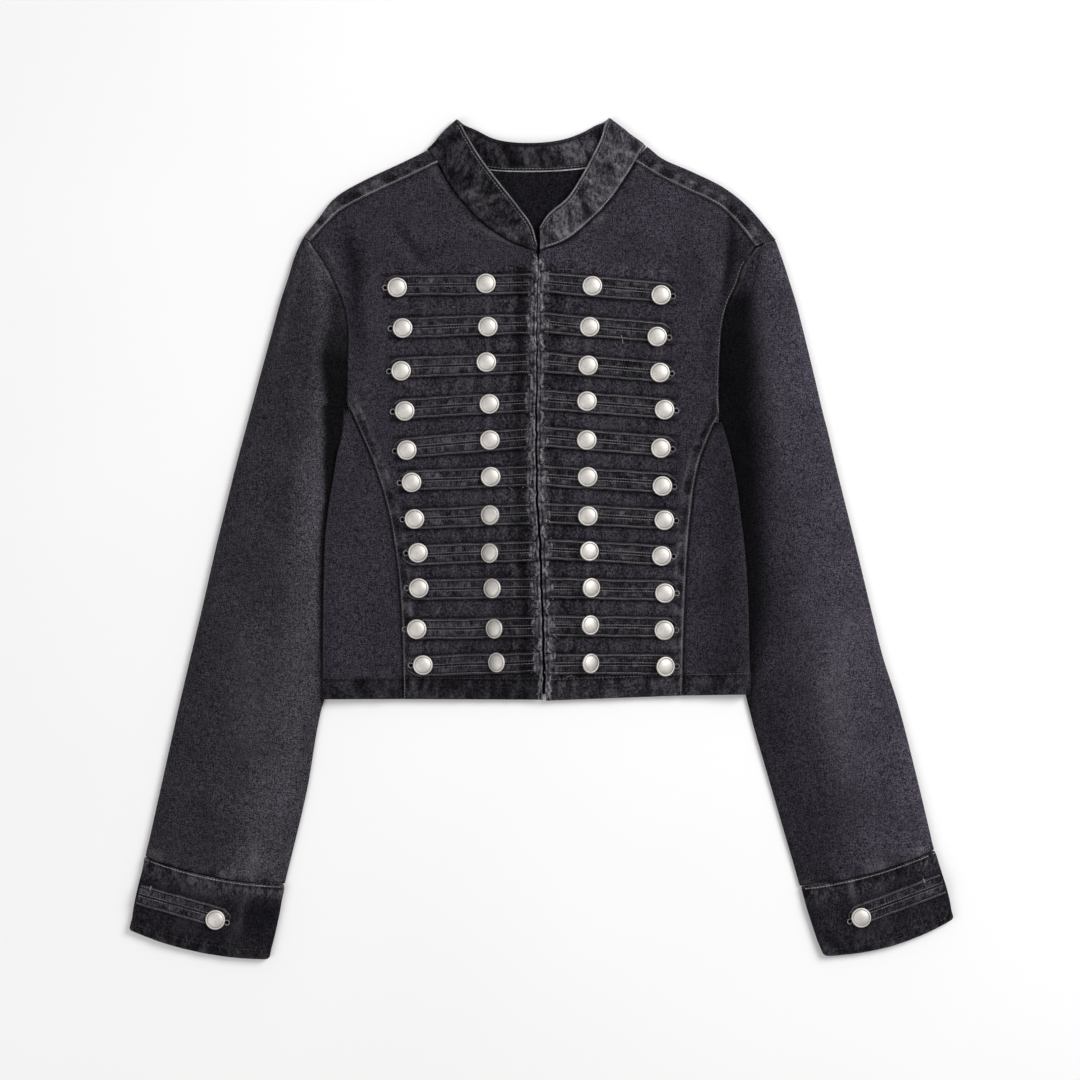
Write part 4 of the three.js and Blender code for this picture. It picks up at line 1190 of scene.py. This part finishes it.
def add_back():
    right, wrap_rows = back_grid("right")
    left, _ = back_grid("left")
    rows = max(len(right), len(left))

    def even(grid, total):
        flat = grid[:-wrap_rows]
        places = np.linspace(0, len(flat) - 1, total - wrap_rows)
        resampled = spline(np.arange(len(flat)), flat.reshape(len(flat), -1), places)
        return np.concatenate([resampled.reshape(len(places), grid.shape[1], 3), grid[-wrap_rows:]])

    parts = []
    for grid in (even(right, rows), even(left, rows)):
        row = np.arange(rows)[:, None]
        low = ease(row, 3, 8) * (1 - ease(row, rows - 40, rows - 25))
        deep = press_creases(grid, BACK_CREASES, -low)
        cloth = Cloth(grid, (20, 20), faces_up=False)
        # painted shade in the troughs of the creases
        cloth.shade *= 1 - 0.3 * np.clip(-deep, 0, 1)
        parts.append(cloth)
    seed = 80
    for cloth in parts:
        grid = cloth.grid
        row = np.arange(rows)[:, None]
        on_wrap = ease(row, rows - wrap_rows + 5, rows - wrap_rows + 8) * np.ones(grid.shape[:2])
        from_seam = run(grid, 0, from_end=True)
        along = run(grid, 1)
        band = on_wrap * (1 - ease(from_seam, 8.5, 10.5)) * ease(from_seam, 0.4, 1.6)
        cloth.relief += 0.4 * band
        cloth.pucker(band, along, from_seam * 0.4, 6.2, seed, 0.5, 0.75, 0.62)
        cloth.wear += 0.6 * on_wrap * bell(from_seam, 1.4, 1.1)
        cloth.darken(0.45 * on_wrap * bell(from_seam, 4.5, 1.8))
        cloth.crinkle += 0.6 * band
        from_hem = run(grid, 0)
        hem = (1 - ease(from_hem, 17, 19.5)) * (1 - on_wrap)
        cloth.pucker(hem, grid[..., 0], from_hem, 8.0, seed + 2, 0.0, 0.4, 0.4)
        cloth.crinkle += 0.5 * hem
        cloth.darken(0.5 * bell(from_hem, 18, 1.6) * (1 - on_wrap))
        seed += 5
    # the right half is turned round so that the two halves meet in one grid, open at the neck
    apart = np.abs(parts[1].grid[:, 0, 0] - parts[0].grid[:, 0, 0]) > 0.5
    neck_row = int(np.argmax(apart))

    def joined(a, b):
        b_side = b[:, 1:].copy()
        b_side[neck_row:, 0] = b[neck_row:, 0]
        return np.concatenate([a[:, ::-1], b_side], axis=1)

    whole = Cloth(joined(parts[0].grid, parts[1].grid), (20, 20), faces_up=False)
    for name in ("normal", "relief", "wear", "shade", "crinkle"):
        setattr(whole, name, joined(getattr(parts[0], name), getattr(parts[1], name)))
    whole.relief = np.clip(whole.relief, None, 0.8)
    slit = (parts[0].grid.shape[1] - 1, neck_row)
    # the back's inner face, seen in the neck opening and between the fronts, gets painted shade through
    # back_shade
    obj = add_cloth("back_cloth", whole, whole.behind(CLOTH), DENIM["body"], ["back"],
                    back_fields=False, back_shade=0.28, slit=slit)
    stitches = Stitches()
    for cloth in parts:
        surface, from_seam = cloth.surface(), run(cloth.grid, 0, from_end=True)
        line = at_distance(surface.transpose(1, 0, 2), from_seam.T, 1.6)
        stitches.row(line[:-2], 2.4, 2.3, seed=90)
    stitches.make("stitches_shoulders", width=0.75, material=FIBRE)


def collar_bands():
    """The middle of the collar's wall: seam and top points, from the right front round to the left."""
    middle = FRONT_TOP - CLOTH / 2
    bands = []

    def front(side):
        neck = SIDES[side]["neck"]
        rows = []
        for k in range(len(neck["neckX"])):
            seam = np.array([neck["neckX"][k], neck["neckY"][k], middle])
            top = np.array([neck["collarX"][k], neck["collarY"][k], middle + 1.9])
            way = (top - seam) / np.linalg.norm(top - seam)
            rows.append((seam + way * (LAYER_GAP + 0.3), top))
        return rows

    bands += front("right")
    for k in range(len(COLLAR_BACK["seamX"])):
        c = one_row(COLLAR_BACK, k)
        bands.append((np.array([c["seamX"], c["seamY"], c["seamZ"]]),
                      np.array([c["topX"], c["topY"], c["topZ"]])))
    return np.array(bands + front("left")[::-1])


def add_collar():
    bands = collar_bands()
    knots = lengths(bands.mean(axis=1))
    places = np.linspace(0, knots[-1], int(knots[-1] / 1.3) + 1)
    smooth = spline(knots, bands.reshape(len(bands), -1), places).reshape(-1, 2, 3)
    shares = np.concatenate([[0, 0.02], np.linspace(0.05, 0.95, 24), [0.98, 1]])[None, :, None]
    grid = smooth[:, :1] * (1 - shares) + smooth[:, 1:] * shares
    cloth = Cloth(grid, (10, 10))
    along, from_seam, from_top = run(grid, 0)[:, 14:15] + 0 * grid[..., 0], run(grid, 1), run(grid, 1, True)
    seed = 100
    from_end = np.minimum(along, along.max() - along)
    edge = np.minimum(np.minimum(from_seam, from_top), np.maximum(from_end, 0.0))
    cloth.relief += 1.2 - 0.75 * (1 - ease(edge, 0, 1.5)) ** 2
    body = ease(edge, 1.5, 5)
    cloth.pucker(body, along + from_seam * 0.5, from_seam * 0.6, 8.5, seed, 0.75, 0.5, 0.7)
    cloth.pucker(body, along - from_seam * 0.4, from_seam * 0.6, 4.2, seed + 5, 0.2, 0.25, 0.4)
    cloth.pucker(body, along + from_seam * 0.2, from_seam, 2.4, seed + 6, 0.1, 0.2, 0.3)
    cloth.crinkle += 0.8 * body
    cloth.pucker(1 - ease(from_seam, 5, 13), along, from_seam, 4.5, seed + 1, 0.25, 0.3, 0.5)
    share = along / along.max()
    at_front = 1 - ease(share, 0.31, 0.34) * (1 - ease(share, 0.68, 0.71))
    cloth.wear += 0.95 * (1 - ease(from_top, 0.3, 2.1)) * at_front + 0.6 * (1 - ease(from_end, 0.2, 1.8))
    # painted light: the collar darker on the wearer's right and lighter towards +X, where the light comes
    # from
    cloth.shade *= np.interp(share, [0, 0.34, 0.5, 0.7, 1], [0.68, 0.68, 0.74, 1.52, 1.5])
    cloth.wear += 0.12 * (share > 0.7) + 0.5 * (share > 0.7) * bell(from_seam, 1.6, 0.9)
    cloth.darken(0.6 * bell(from_top, 2.6, 0.8))
    # painted shade along the collar's seam to the body
    cloth.darken(0.75 * (1 - ease(from_seam, 0.2, 2.0)))
    surface = cloth.surface()
    inner = grid - cloth.normal * cloth.relief[..., None]
    obj = add_cloth("collar_cloth", cloth, inner, DENIM["trim"], ["collar"])
    stitches = Stitches()
    upper = surface if surface[3, 10, 2] > inner[3, 10, 2] else inner
    lower = inner if upper is surface else surface
    count = len(grid)
    front_right = slice(2, int(count * 0.30))
    front_left = slice(int(count * 0.72), count - 2)
    behind = slice(int(count * 0.36), int(count * 0.66))
    top_line = at_distance(upper, from_top, 3.6)
    stitches.row(top_line[front_right], 2.8, 2.4, seed=seed)
    stitches.row(top_line[front_left], 2.8, 2.4, seed=seed + 1)
    stitches.row(at_distance(lower, from_seam, 1.6)[behind], 3.0, 2.6, seed=seed + 3)
    stitches.make("stitches_collar", width=0.6)
    seam_stitches = Stitches()
    seam_stitches.row(at_distance(upper, from_seam, 1.6)[front_left], 2.5, 2.4, seed=seed + 4)
    seam_stitches.make("stitches_collar_seam", width=0.85, material=FIBRE)
    cord = Stitches()
    cord.row(at_distance(upper, from_top, 0.9)[front_right], 2.0, 2.0, lift=-0.05, seed=seed + 6)
    cord.row(at_distance(upper, from_top, 0.9)[front_left], 2.0, 2.0, lift=-0.05, seed=seed + 7)
    cord.make("cord_collar", width=1.1, height=0.8, material=FIBRE)


def ring_section(outer, inner, bow, inset):
    """One closed section round a cuff."""
    width, at = across_tube(outer, inner, bow)
    radius = CUFF_TOP / 2
    small = radius - inset
    far = width - radius
    section = []
    for degrees in np.linspace(90, 270, 9):
        angle = math.radians(degrees)
        section.append(at(radius + small * math.cos(angle), radius + small * math.sin(angle)))
    for t in np.linspace(0, 1, 24)[1:-1]:
        section.append(at(radius + (far - radius) * t, inset))
    for degrees in np.linspace(-90, 90, 9):
        angle = math.radians(degrees)
        section.append(at(far + small * math.cos(angle), radius + small * math.sin(angle)))
    for t in np.linspace(1, 0, 84)[1:-1]:
        section.append(at(radius + (far - radius) * t, CUFF_TOP - inset))
    return np.array(section)


def cuff_grid(side, inset):
    """The cuff's face, or with an inset the one inside its wall."""
    c = SIDES[side]["cuff"]
    knots = lengths(np.stack([c["outerX"], c["outerY"]], axis=1))
    columns = np.stack([c["outerX"], c["outerY"], c["innerX"], c["innerY"], c["bow"]], axis=1)
    places = np.linspace(0, knots[-1], 50)
    rows = spline(knots, columns, places)
    return np.array([ring_section(r[0:2], r[2:4], r[4], inset) for r in rows])


def add_cuff(side):
    out = SIDES[side]["out"]
    grid = cuff_grid(side, 0)
    inner = cuff_grid(side, CUFF_WALL)
    cloth = Cloth(grid, (20, -30), wrap=True)
    from_top, from_hem = run(grid, 0), run(grid, 0, True)
    around = run(grid, 1)
    seed = 120 + out
    edge = np.minimum(from_top, from_hem)
    cloth.relief -= 0.9 * (1 - ease(edge, 0, 1.4)) ** 2
    cloth.pucker(1 - ease(from_top, 5, 15), around, from_top, 5.0, seed, 0.45, 0.42, 0.6)
    cloth.pucker(1 - ease(from_hem, 6, 16), around, from_hem, 5.5, seed + 1, 0.4, 0.30, 0.5)
    cloth.pucker(np.ones(grid.shape[:2]), around, from_top, 12.0, seed + 2, 0.35, 0.14, 0.35)
    cloth.wear += 0.5 * (1 - ease(from_hem, 0.4, 2.0)) + 0.2 * (1 - ease(from_top, 0.3, 1.6))
    cloth.crinkle += 0.2 + 0.5 * (1 - ease(edge, 8, 16))
    cloth.darken((0.55 if side == "right" else 0.4) * ease(from_top, 6, 22))
    cloth.darken(0.6 * bell(from_top, 3.2, 0.9))
    if out < 0:
        path = table(CREASE, (-250, -280, -256, -310, -262, -345, 2.6, 1.0))
    else:
        path = table(CREASE, (262, -285, 268, -308, 276, -345, 3.0, 1.0))
    high = ease(grid[..., 2], 5, 7)
    ridge = press_creases(grid.copy(), path, high)
    cloth.wear += 0.4 * ridge
    cloth.relief += 0.5 * ridge
    obj = add_cloth(f"cuff_{side}_cloth", cloth, inner, DENIM["trim"], [f"cuff_{side}"])
    surface = cloth.surface()
    top_columns = slice(grid.shape[1] - 84, grid.shape[1])
    for name, distance, pitch, width, material in (
            ("cuff", 1.6, 2.45, 0.8, FIBRE), ("cuff_hem", 57.5, 3.1, 0.45, DARK_THREAD)):
        stitches = Stitches()
        line = at_distance(surface.transpose(1, 0, 2), from_top.T, distance)
        stitches.row(line[top_columns], pitch, 2.4, seed=seed + int(distance))
        stitches.row(line[:39], pitch, 2.4, seed=seed + 1)
        stitches.make(f"stitches_{name}_{side}", width=width, material=material)


# Straps and tabs
Strap = collections.namedtuple("Strap", "cloth under length across from_edge way eye")


def strap_surface(start, tip, width, low, seed, button_at, square_to_strap, eye_gap=1.9):
    """A padded strap from start to its pointed tip, with the distances over it."""
    start, tip = np.array(start, float), np.array(tip, float)
    length = np.linalg.norm(tip - start)
    along = (tip - start) / length
    across = np.array([-along[1], along[0]]) if square_to_strap else np.array([0.0, 1.0])
    u = np.linspace(0, length, int(length / 1.5))
    half = np.concatenate([[-1, -0.985, -0.95, -0.9], np.linspace(-0.83, 0.83, 15), [0.9, 0.95, 0.985, 1]])
    from_tip = length - u
    taper = 0.16 + 0.84 * np.clip(from_tip / 8.5, 0, 1) ** 0.62
    taper = np.where(from_tip > 8.5, 1.0, taper)
    waist = 1 + 0.035 * noise(u / 9, 0 * u, seed)
    half_width = width / 2 * taper * waist
    wander = 0.35 * noise(u / 30, 0 * u, seed + 1)
    d = half[None, :] * half_width[:, None]
    place = (start + np.outer(u, along))[:, None, :] + (d + wander[:, None])[..., None] * across
    edge = np.minimum(width / 2 * taper[:, None] * (1 - np.abs(half))[None, :], from_tip[:, None] + 0.05)
    rise = STRAP_THICK * np.sqrt(np.clip(1 - (1 - np.clip(edge / 1.1, 0, 1)) ** 2, 0, 1))
    z = low + 0.04 + rise
    grid = np.concatenate([place, z[..., None]], axis=2)
    under = np.concatenate([place, np.full((*z.shape, 1), low)], axis=2)
    cloth = Cloth(grid, (10, 10))
    cloth.normal[:] = (0, 0, 1)
    uu = u[:, None] + 0 * d
    groove = 0.42 * bell(edge, 2.0, 0.5) + 0.38 * bell(d, 0, 0.55)
    cloth.relief -= groove
    padded = ease(edge, 2.3, 3.4) * ease(np.abs(d), 0.5, 1.8)
    cloth.pucker(padded, uu * 0.7, d + 20, 2.8, seed + 2, 0.25, 0.30, 0.5)
    cloth.crinkle += 0.75 * padded
    cloth.wear += 0.26 * bell(edge, 1.2, 0.6) + 0.05
    for distance in (2.6, 4.6):
        fine_line = np.exp(-(((np.abs(d) - distance) / 0.4) ** 2)) * ease(edge, 2.6, 3.6)
        cloth.darken(0.3 * fine_line * (0.6 + 0.4 * noise(uu / 7, d, seed + 5)))
    # painted shade where the strap's edges roll under, in its middle slit, and in the groove inside its
    # edges
    cloth.darken(0.75 * (1 - ease(edge, 0.1, 0.9)) + 0.75 * bell(d, 0, 0.5))
    cloth.darken(0.7 * bell(edge, 2.9, 0.6))
    # the buttonhole's eye, just past the button: a pit with painted shade, standing in for the hole
    button = np.array(button_at, float)
    eye = button + along * (BUTTON_RADIUS + eye_gap)
    gap = (grid[..., :2] - eye)
    lengthwise, sideways = gap @ along, gap @ np.array([-along[1], along[0]])
    hole = np.exp(-((lengthwise / 2.0) ** 4 + (sideways / 1.6) ** 4))
    cloth.relief -= 1.15 * hole
    cloth.shade *= 1 - 0.97 * np.clip(hole * 1.4, 0, 1)
    cloth.wear *= 1 - np.clip(hole * 1.4, 0, 1)
    # painted shadow round the button on the strap
    near = np.exp(-((np.linalg.norm(grid[..., :2] - button, axis=2) / 9.6) ** 8))
    cloth.darken(0.45 * near * (1 - hole))
    return Strap(cloth, under, u, d, edge, along, eye)


def strap_stitches(stitches, strap, seed):
    """Two rows of stitches inside the strap's edges and two beside its middle line."""
    d, edge, surface = strap.across, strap.from_edge, strap.cloth.surface()
    middle = d.shape[1] // 2
    for lower_half in (True, False):
        part = slice(0, middle + 1) if lower_half else slice(middle, None)
        line = at_distance(surface[:, part], edge[:, part], 1.95)
        inside = edge[:, part].max(axis=1) > 2.2
        stitches.row(line[inside], 2.2, 2.0, lift=0.0, seed=seed)
        seed += 1
    for offset in (-1.2, 1.2):
        stitches.row(at_distance(surface, d, offset)[:-9], 2.2, 2.0, lift=0.0, seed=seed)
        seed += 1


def buttonhole(threads, strap, z, seed):
    """Pale thread wound round the buttonhole's eye, open towards the button."""
    rng = np.random.default_rng(seed)
    along, eye = strap.way, strap.eye
    side = np.array([-along[1], along[0]])
    for degrees in np.linspace(-150, 150, 25):
        angle = math.radians(degrees + rng.uniform(-5, 5))
        way = along * math.cos(angle) + side * math.sin(angle)
        inner, outer = eye + way * 1.6, eye + way * rng.uniform(2.4, 2.8)
        threads.starts.append([*inner, z - 0.15])
        threads.ends.append([*outer, z + 0.05])


EDGE_OVERHANG = 0.9


def edge_width(side, y):
    """How wide the strip beside the front edge is: wide where a strap joins it."""
    rows = SIDES[side]["straps"]["edgeY"]
    near = np.min(np.abs(y[:, None] - rows[None, :]), axis=1)
    wide, narrow = (8.4, 3.4) if side == "right" else (9.6, 3.6)
    return narrow + (wide - narrow) * (1 - ease(near, 8.6, 10.2))


def add_edge_strip(side):
    s = SIDES[side]
    out = s["out"]
    top = (s["neck"]["neckX"][0] + out * 0.3, s["neck"]["neckY"][0] - 2.5)
    inner = np.concatenate([stacked([turned(s["lower"]), s["armhole"]], "edgeX", "edgeY"), [top]])
    knots = lengths(inner)
    places = np.linspace(0, knots[-1], int(knots[-1] / 1.2) + 1)
    line = spline(knots, inner, places)
    y = line[:, 1]
    wobble = 1.1 * noise(y / 5, 0 * y, 140 + out) + 1.0 * noise(y / 2.2, 0 * y, 141 + out)
    width = np.maximum(edge_width(side, y) + wobble, 1.8)
    overhang = EDGE_OVERHANG + out * 0.5 * noise(y / 5, 0 * y, 142)
    half = np.concatenate([[0, 0.03, 0.08], np.linspace(0.14, 0.88, 13), [0.93, 0.975, 1]])
    x = line[:, :1] + out * (width[:, None] * half[None, :] - overhang[:, None])
    d = width[:, None] * half[None, :]
    edge = np.minimum(d, width[:, None] - d)
    ends = np.minimum(places - places[0], places[-1] - places)[:, None] + 0.05
    edge = np.minimum(edge, ends)
    rise = STRAP_THICK * np.sqrt(np.clip(1 - (1 - np.clip(edge / 1.0, 0, 1)) ** 2, 0, 1))
    z = STRAP_LOW + 0.1 + rise
    yy = y[:, None] + 0 * x
    cloth = Cloth(np.stack([x, yy, z], axis=2), (10, 4))
    cloth.normal[:] = (0, 0, 1)
    under = np.stack([x, yy, np.full(x.shape, STRAP_LOW)], axis=2)
    seed = 150 + out
    cloth.pucker(np.ones(x.shape), yy, d, 2.8, seed, 0.35, 0.6, 0.6)
    cloth.crinkle += 0.9
    rows = s["straps"]["edgeY"]
    near = np.min(np.abs(y[:, None] - rows[None, :]), axis=1)[:, None]
    block = 1 - ease(near, 8.2, 9.4)
    frayed = 1 - ease(width[:, None] - d, 0.3, 1.8)
    uneven = 0.65 + 0.35 * noise(y / 3, 0 * y, seed + 4)[:, None]
    cloth.wear += 0.4 * block * ease(d, 1.2, 2.4) * uneven + 0.9 * (1 - ease(d, 0.4, 1.8)) * uneven
    cloth.wear += 1.0 * frayed * (1 - block)
    # painted shade in two pressed lines along the strip
    for distance, depth in ((2.5, 0.85), (5.4 if side == "right" else 7.2, 0.75)):
        line = bell(d, distance, 0.5) * (0.1 + 0.9 * block)
        cloth.relief -= 0.3 * line
        cloth.darken(depth * line)
    # painted shadow where the strip meets the top and bottom of each strap
    cloth.darken(0.8 * bell(near, 9.3, 0.7) * ease(d, 1.2, 2.2))
    cloth.shade *= 1.3 + 0.3 * block + 1.0 * frayed * (1 - block) + 0.7 * (1 - ease(d, 0.6, 2.2))
    obj = add_cloth(f"edge_strip_{side}", cloth, under, DENIM["trim"], [f"straps_{side}"])
    rng = np.random.default_rng(seed)
    starts, ends = [], []
    for k in range(4, len(y) - 4):
        for _ in range(1 if near[k, 0] < 9 else 4):
            base = np.array([x[k, -1], y[k] + rng.uniform(-0.6, 0.6), STRAP_LOW + 0.8])
            reach = rng.uniform(0.6, 2.2)
            way = np.array([out * rng.uniform(0.2, 1.0), rng.uniform(-1, 1), rng.uniform(-0.2, 0.35)])
            starts.append(base - way * 0.4)
            ends.append(base + way * reach)
        if rng.uniform() < 0.25:
            base = np.array([x[k, 0] + out * 0.6, y[k] + rng.uniform(-0.6, 0.6), STRAP_LOW + 1.0])
            way = np.array([-out * rng.uniform(0.2, 0.9), rng.uniform(-1, 1), rng.uniform(-0.3, 0.3)])
            starts.append(base)
            ends.append(base + way * rng.uniform(0.6, 1.4))
    add_threads(f"frayed_edge_{side}", starts, ends, 0.34, 0.34, FIBRE)


def add_straps(side):
    s = SIDES[side]
    out = s["out"]
    rows = s["straps"]
    stitches, holes = Stitches(), Stitches()
    lower = turned(s["lower"])
    edge_y = np.concatenate([lower["edgeY"], s["armhole"]["edgeY"]])
    edge_x = np.concatenate([lower["edgeX"], s["armhole"]["edgeX"]])
    for k in range(len(rows["edgeY"])):
        start = (np.interp(rows["edgeY"][k], edge_y, edge_x) + out * 4.5, rows["edgeY"][k])
        tip = (rows["tipX"][k], rows["tipY"][k])
        seed = 200 + 40 * (out + 1) + 3 * k
        button = (rows["outerX"][k], rows["outerY"][k])
        strap = strap_surface(start, tip, STRAP_WIDTH, STRAP_LOW, seed, button, False)
        cloth, u = strap.cloth, strap.length[:, None]
        # by_edge: painted shade in a band near the front edge, strong on the right straps and faint on the
        # left
        by_edge = 1 - ease(np.abs(u - 8.5), 3, 8)
        dashes = ease(noise(u / 6, strap.across / 1.5, seed + 9), 0.15, 0.75)
        dashes = dashes * ease(strap.from_edge, 2.2, 3.0)
        if side == "left":
            cloth.shade *= 0.69 * (1 - 0.1 * by_edge)
            cloth.wear += 0.75 * dashes + 0.4 * bell(strap.from_edge, 1.2, 0.6)
        else:
            cloth.shade *= 0.95 * (1 - 0.66 * by_edge) * (1 - 0.22 * low_right(*cloth.grid[..., :2].T).T)
            cloth.wear += 0.26 * dashes
        obj = add_cloth(f"strap_{side}_{k + 1:02d}", cloth, strap.under, DENIM["trim"],
                        [f"straps_{side}"])
        strap_stitches(stitches, strap, seed)
        buttonhole(holes, strap, STRAP_LOW + STRAP_THICK + 0.15, seed)
    stitches.make(f"stitches_straps_{side}", width=0.55, height=0.5,
                  material=SOFT_THREAD if side == "right" else THREAD)
    holes.make(f"buttonholes_{side}", width=0.5, height=0.5, material=FIBRE)


def add_tab(side):
    s = SIDES[side]
    x1, y1, x2, y2 = s["tab"]
    low = CUFF_TOP + LAYER_GAP
    seed = 320 + s["out"]
    tab = strap_surface((x1, y1), (x2, y2), TAB_WIDTH, low, seed, s["cuffButton"], True, 1.6)
    obj = add_cloth(f"cuff_tab_{side}_cloth", tab.cloth, tab.under, DENIM["trim"], [f"cuff_tab_{side}"])
    stitches, holes = Stitches(), Stitches()
    strap_stitches(stitches, tab, seed)
    buttonhole(holes, tab, low + STRAP_THICK + 0.15, seed)
    start, along = np.array([x1, y1]), tab.way
    side_way = np.array([-along[1], along[0]])
    # a bar tack over the tab's upper edge
    upper = side_way * (TAB_WIDTH / 2 - 1.2) * (1 if side_way[1] > 0 else -1)
    for place in (8.6, 9.3) if side == "right" else (14.6, 15.3):
        base = start + along * place + upper
        holes.starts.append([*(base - side_way * 2.4), low + STRAP_THICK + 0.2])
        holes.ends.append([*(base + side_way * 2.4), low + STRAP_THICK + 0.2])
    stitches.make(f"stitches_tab_{side}", width=0.6, height=0.5, material=SOFT_THREAD)
    holes.make(f"buttonhole_tab_{side}", width=0.5, height=0.5, material=FIBRE)


# Buttons
BUTTON_PROFILE = (
    (0.0, 0.0), (6.6, 0.0), (7.9, 0.25), (8.4, 0.8), (8.5, 1.4), (8.35, 1.9), (8.05, 2.15), (7.6, 2.28),
    (7.2, 2.25), (6.95, 2.1), (6.8, 1.95), (6.6, 2.1), (6.2, 2.4), (5.3, 2.75), (4.1, 3.08), (2.7, 3.32),
    (1.3, 3.46), (0.0, 3.5),
)
GROOVE = (6.65, 7.1)


def add_button(name, x, y, low, tilt):
    """A domed button with a rolled rim. Tilted on its shank, it is lifted until its rim is clear."""
    steps = 40
    angles = np.arange(steps) * 2 * math.pi / steps
    vertices, shade = [], []
    for r, z in BUTTON_PROFILE[1:-1]:
        vertices.append(np.stack([r * np.cos(angles), r * np.sin(angles), np.full(steps, z)], axis=1))
        # painted shade in the groove between dome and rim
        in_groove = GROOVE[0] < r < GROOVE[1] and z > 1.5
        shade.append(np.full(steps, 0.30 if in_groove else 1.0))
    rings = len(vertices)
    vertices = np.concatenate([*vertices, [[0, 0, BUTTON_PROFILE[0][1]], [0, 0, BUTTON_PROFILE[-1][1]]]])
    shade = np.concatenate([*shade, [1.0, 1.0]])
    faces = []
    for k in range(rings - 1):
        for j in range(steps):
            n = (j + 1) % steps
            faces.append((k * steps + j, k * steps + n, (k + 1) * steps + n, (k + 1) * steps + j))
    bottom, top = rings * steps, rings * steps + 1
    for j in range(steps):
        n = (j + 1) % steps
        faces.append((bottom, n, j))
        faces.append((top, (rings - 1) * steps + j, (rings - 1) * steps + n))
    angle = math.radians(tilt)
    cos, sin = math.cos(angle), math.sin(angle)
    turn = np.array([[cos, 0, sin], [0, 1, 0], [-sin, 0, cos]])
    vertices = vertices @ turn.T
    vertices += (x, y, low + LAYER_GAP + abs(math.sin(angle)) * BUTTON_RADIUS)
    add_object(f"{name}_metal", vertices, faces, METAL, [name], {"shade": shade})


def add_buttons(side):
    rows = SIDES[side]["straps"]
    for k in range(len(rows["edgeY"])):
        for which in ("outer", "inner"):
            add_button(f"button_{side}_{which}_{k + 1:02d}", rows[which + "X"][k], rows[which + "Y"][k],
                       STRAP_LOW + STRAP_THICK, rows[which + "Tilt"][k])
    x, y = SIDES[side]["cuffButton"]
    add_button(f"button_{side}_cuff", x, y, CUFF_TOP + LAYER_GAP + STRAP_THICK, 0)


def add_loose_threads():
    """The few loose ends that show on the front, each as a short run of thread."""
    paths = {
        "a": [(-28.4, 45, 7.4), (-26.5, 44, 7.6), (-25.5, 42, 7.3)],
        "b": [(-27.5, -36.3, 7.3), (-24.6, -37.4, 7.9), (-23.6, -40.2, 7.7), (-23.2, -41.5, 7.3)],
        "c": [(67.9, 176.1, 8.8), (69.0, 172.5, 9.0), (69.7, 167.5, 8.8)],
        "d": [(20.6, -118, 7.5), (23.5, -117.6, 7.8), (25.8, -116.3, 7.4)],
        "e": [(2.2, -113.2, 8.8), (2.0, -114.8, 8.9)],
        "f": [(2.6, -131.5, 8.4), (2.3, -135.5, 8.2), (2.7, -137.5, 7.6)],
        "g": [(-47.3, 226.6, 7.2), (-46.6, 228.2, 7.6), (-47.0, 229.6, 7.2)],
    }
    starts, ends = [], []
    for points in paths.values():
        starts += points[:-1]
        ends += points[1:]
    add_threads("loose_threads", starts, ends, 0.5, 0.5, FIBRE)


add_back()
add_collar()
for side_name in ("right", "left"):
    add_front(side_name)
    add_side(side_name)
    add_sleeve(side_name)
    add_cuff(side_name)
    add_tab(side_name)
    add_edge_strip(side_name)
    add_straps(side_name)
    add_buttons(side_name)
add_loose_threads()


# Floor, light and camera, in metres
FLOOR_REACH = 4.0
WORLD_STRENGTH = 0.42
CAMERA_HEIGHT = 2.0706
# what the middle of the photo shows, in millimetres
PHOTO_MIDDLE = (-1.72, -0.22)


def add_floor():
    mesh = bpy.data.meshes.new("floor")
    reach = FLOOR_REACH
    mesh.from_pydata([(-reach, -reach, 0), (reach, -reach, 0), (reach, reach, 0), (-reach, reach, 0)], [],
                     [(0, 1, 2, 3)])
    n = Nodes("floor_pale")
    tone = n.spread(n.noise(n.coordinates(), 3, 2), 0.3, 0.7, 0.93, 0.95)
    n.link(tone, "Base Color")
    n.shader.inputs["Roughness"].default_value = 0.9
    mesh.materials.append(n.material)
    obj = bpy.data.objects.new("floor", mesh)
    bpy.context.scene.collection.objects.link(obj)


def add_light(name, place, size, power):
    """A round area light that looks at the middle of the jacket."""
    data = bpy.data.lights.new(name, "AREA")
    data.shape = "DISK"
    data.size = size
    data.energy = power
    obj = bpy.data.objects.new(name, data)
    obj.location = place
    aim = np.array([0, 0, 0]) - np.array(place)
    flat = math.hypot(aim[0], aim[1])
    obj.rotation_euler = (math.atan2(flat, -aim[2]), 0, math.atan2(aim[0], -aim[1]) + math.pi)
    bpy.context.scene.collection.objects.link(obj)


add_floor()
world = bpy.data.worlds.new("studio")
world.use_nodes = True
world.node_tree.nodes["Background"].inputs["Color"].default_value = (1, 1, 1, 1)
world.node_tree.nodes["Background"].inputs["Strength"].default_value = WORLD_STRENGTH
bpy.context.scene.world = world
add_light("key", (1.7, 1.1, 1.9), 1.5, 58)
add_light("fill", (-1.7, -0.9, 2.0), 1.8, 18)
bpy.context.scene.view_settings.view_transform = "Standard"

camera = bpy.data.objects.new("camera", bpy.data.cameras.new("camera"))
camera.data.sensor_width = 36
camera.data.lens = 80
camera.location = (PHOTO_MIDDLE[0] * MM, PHOTO_MIDDLE[1] * MM, CAMERA_HEIGHT)
bpy.context.scene.collection.objects.link(camera)
bpy.context.scene.camera = camera
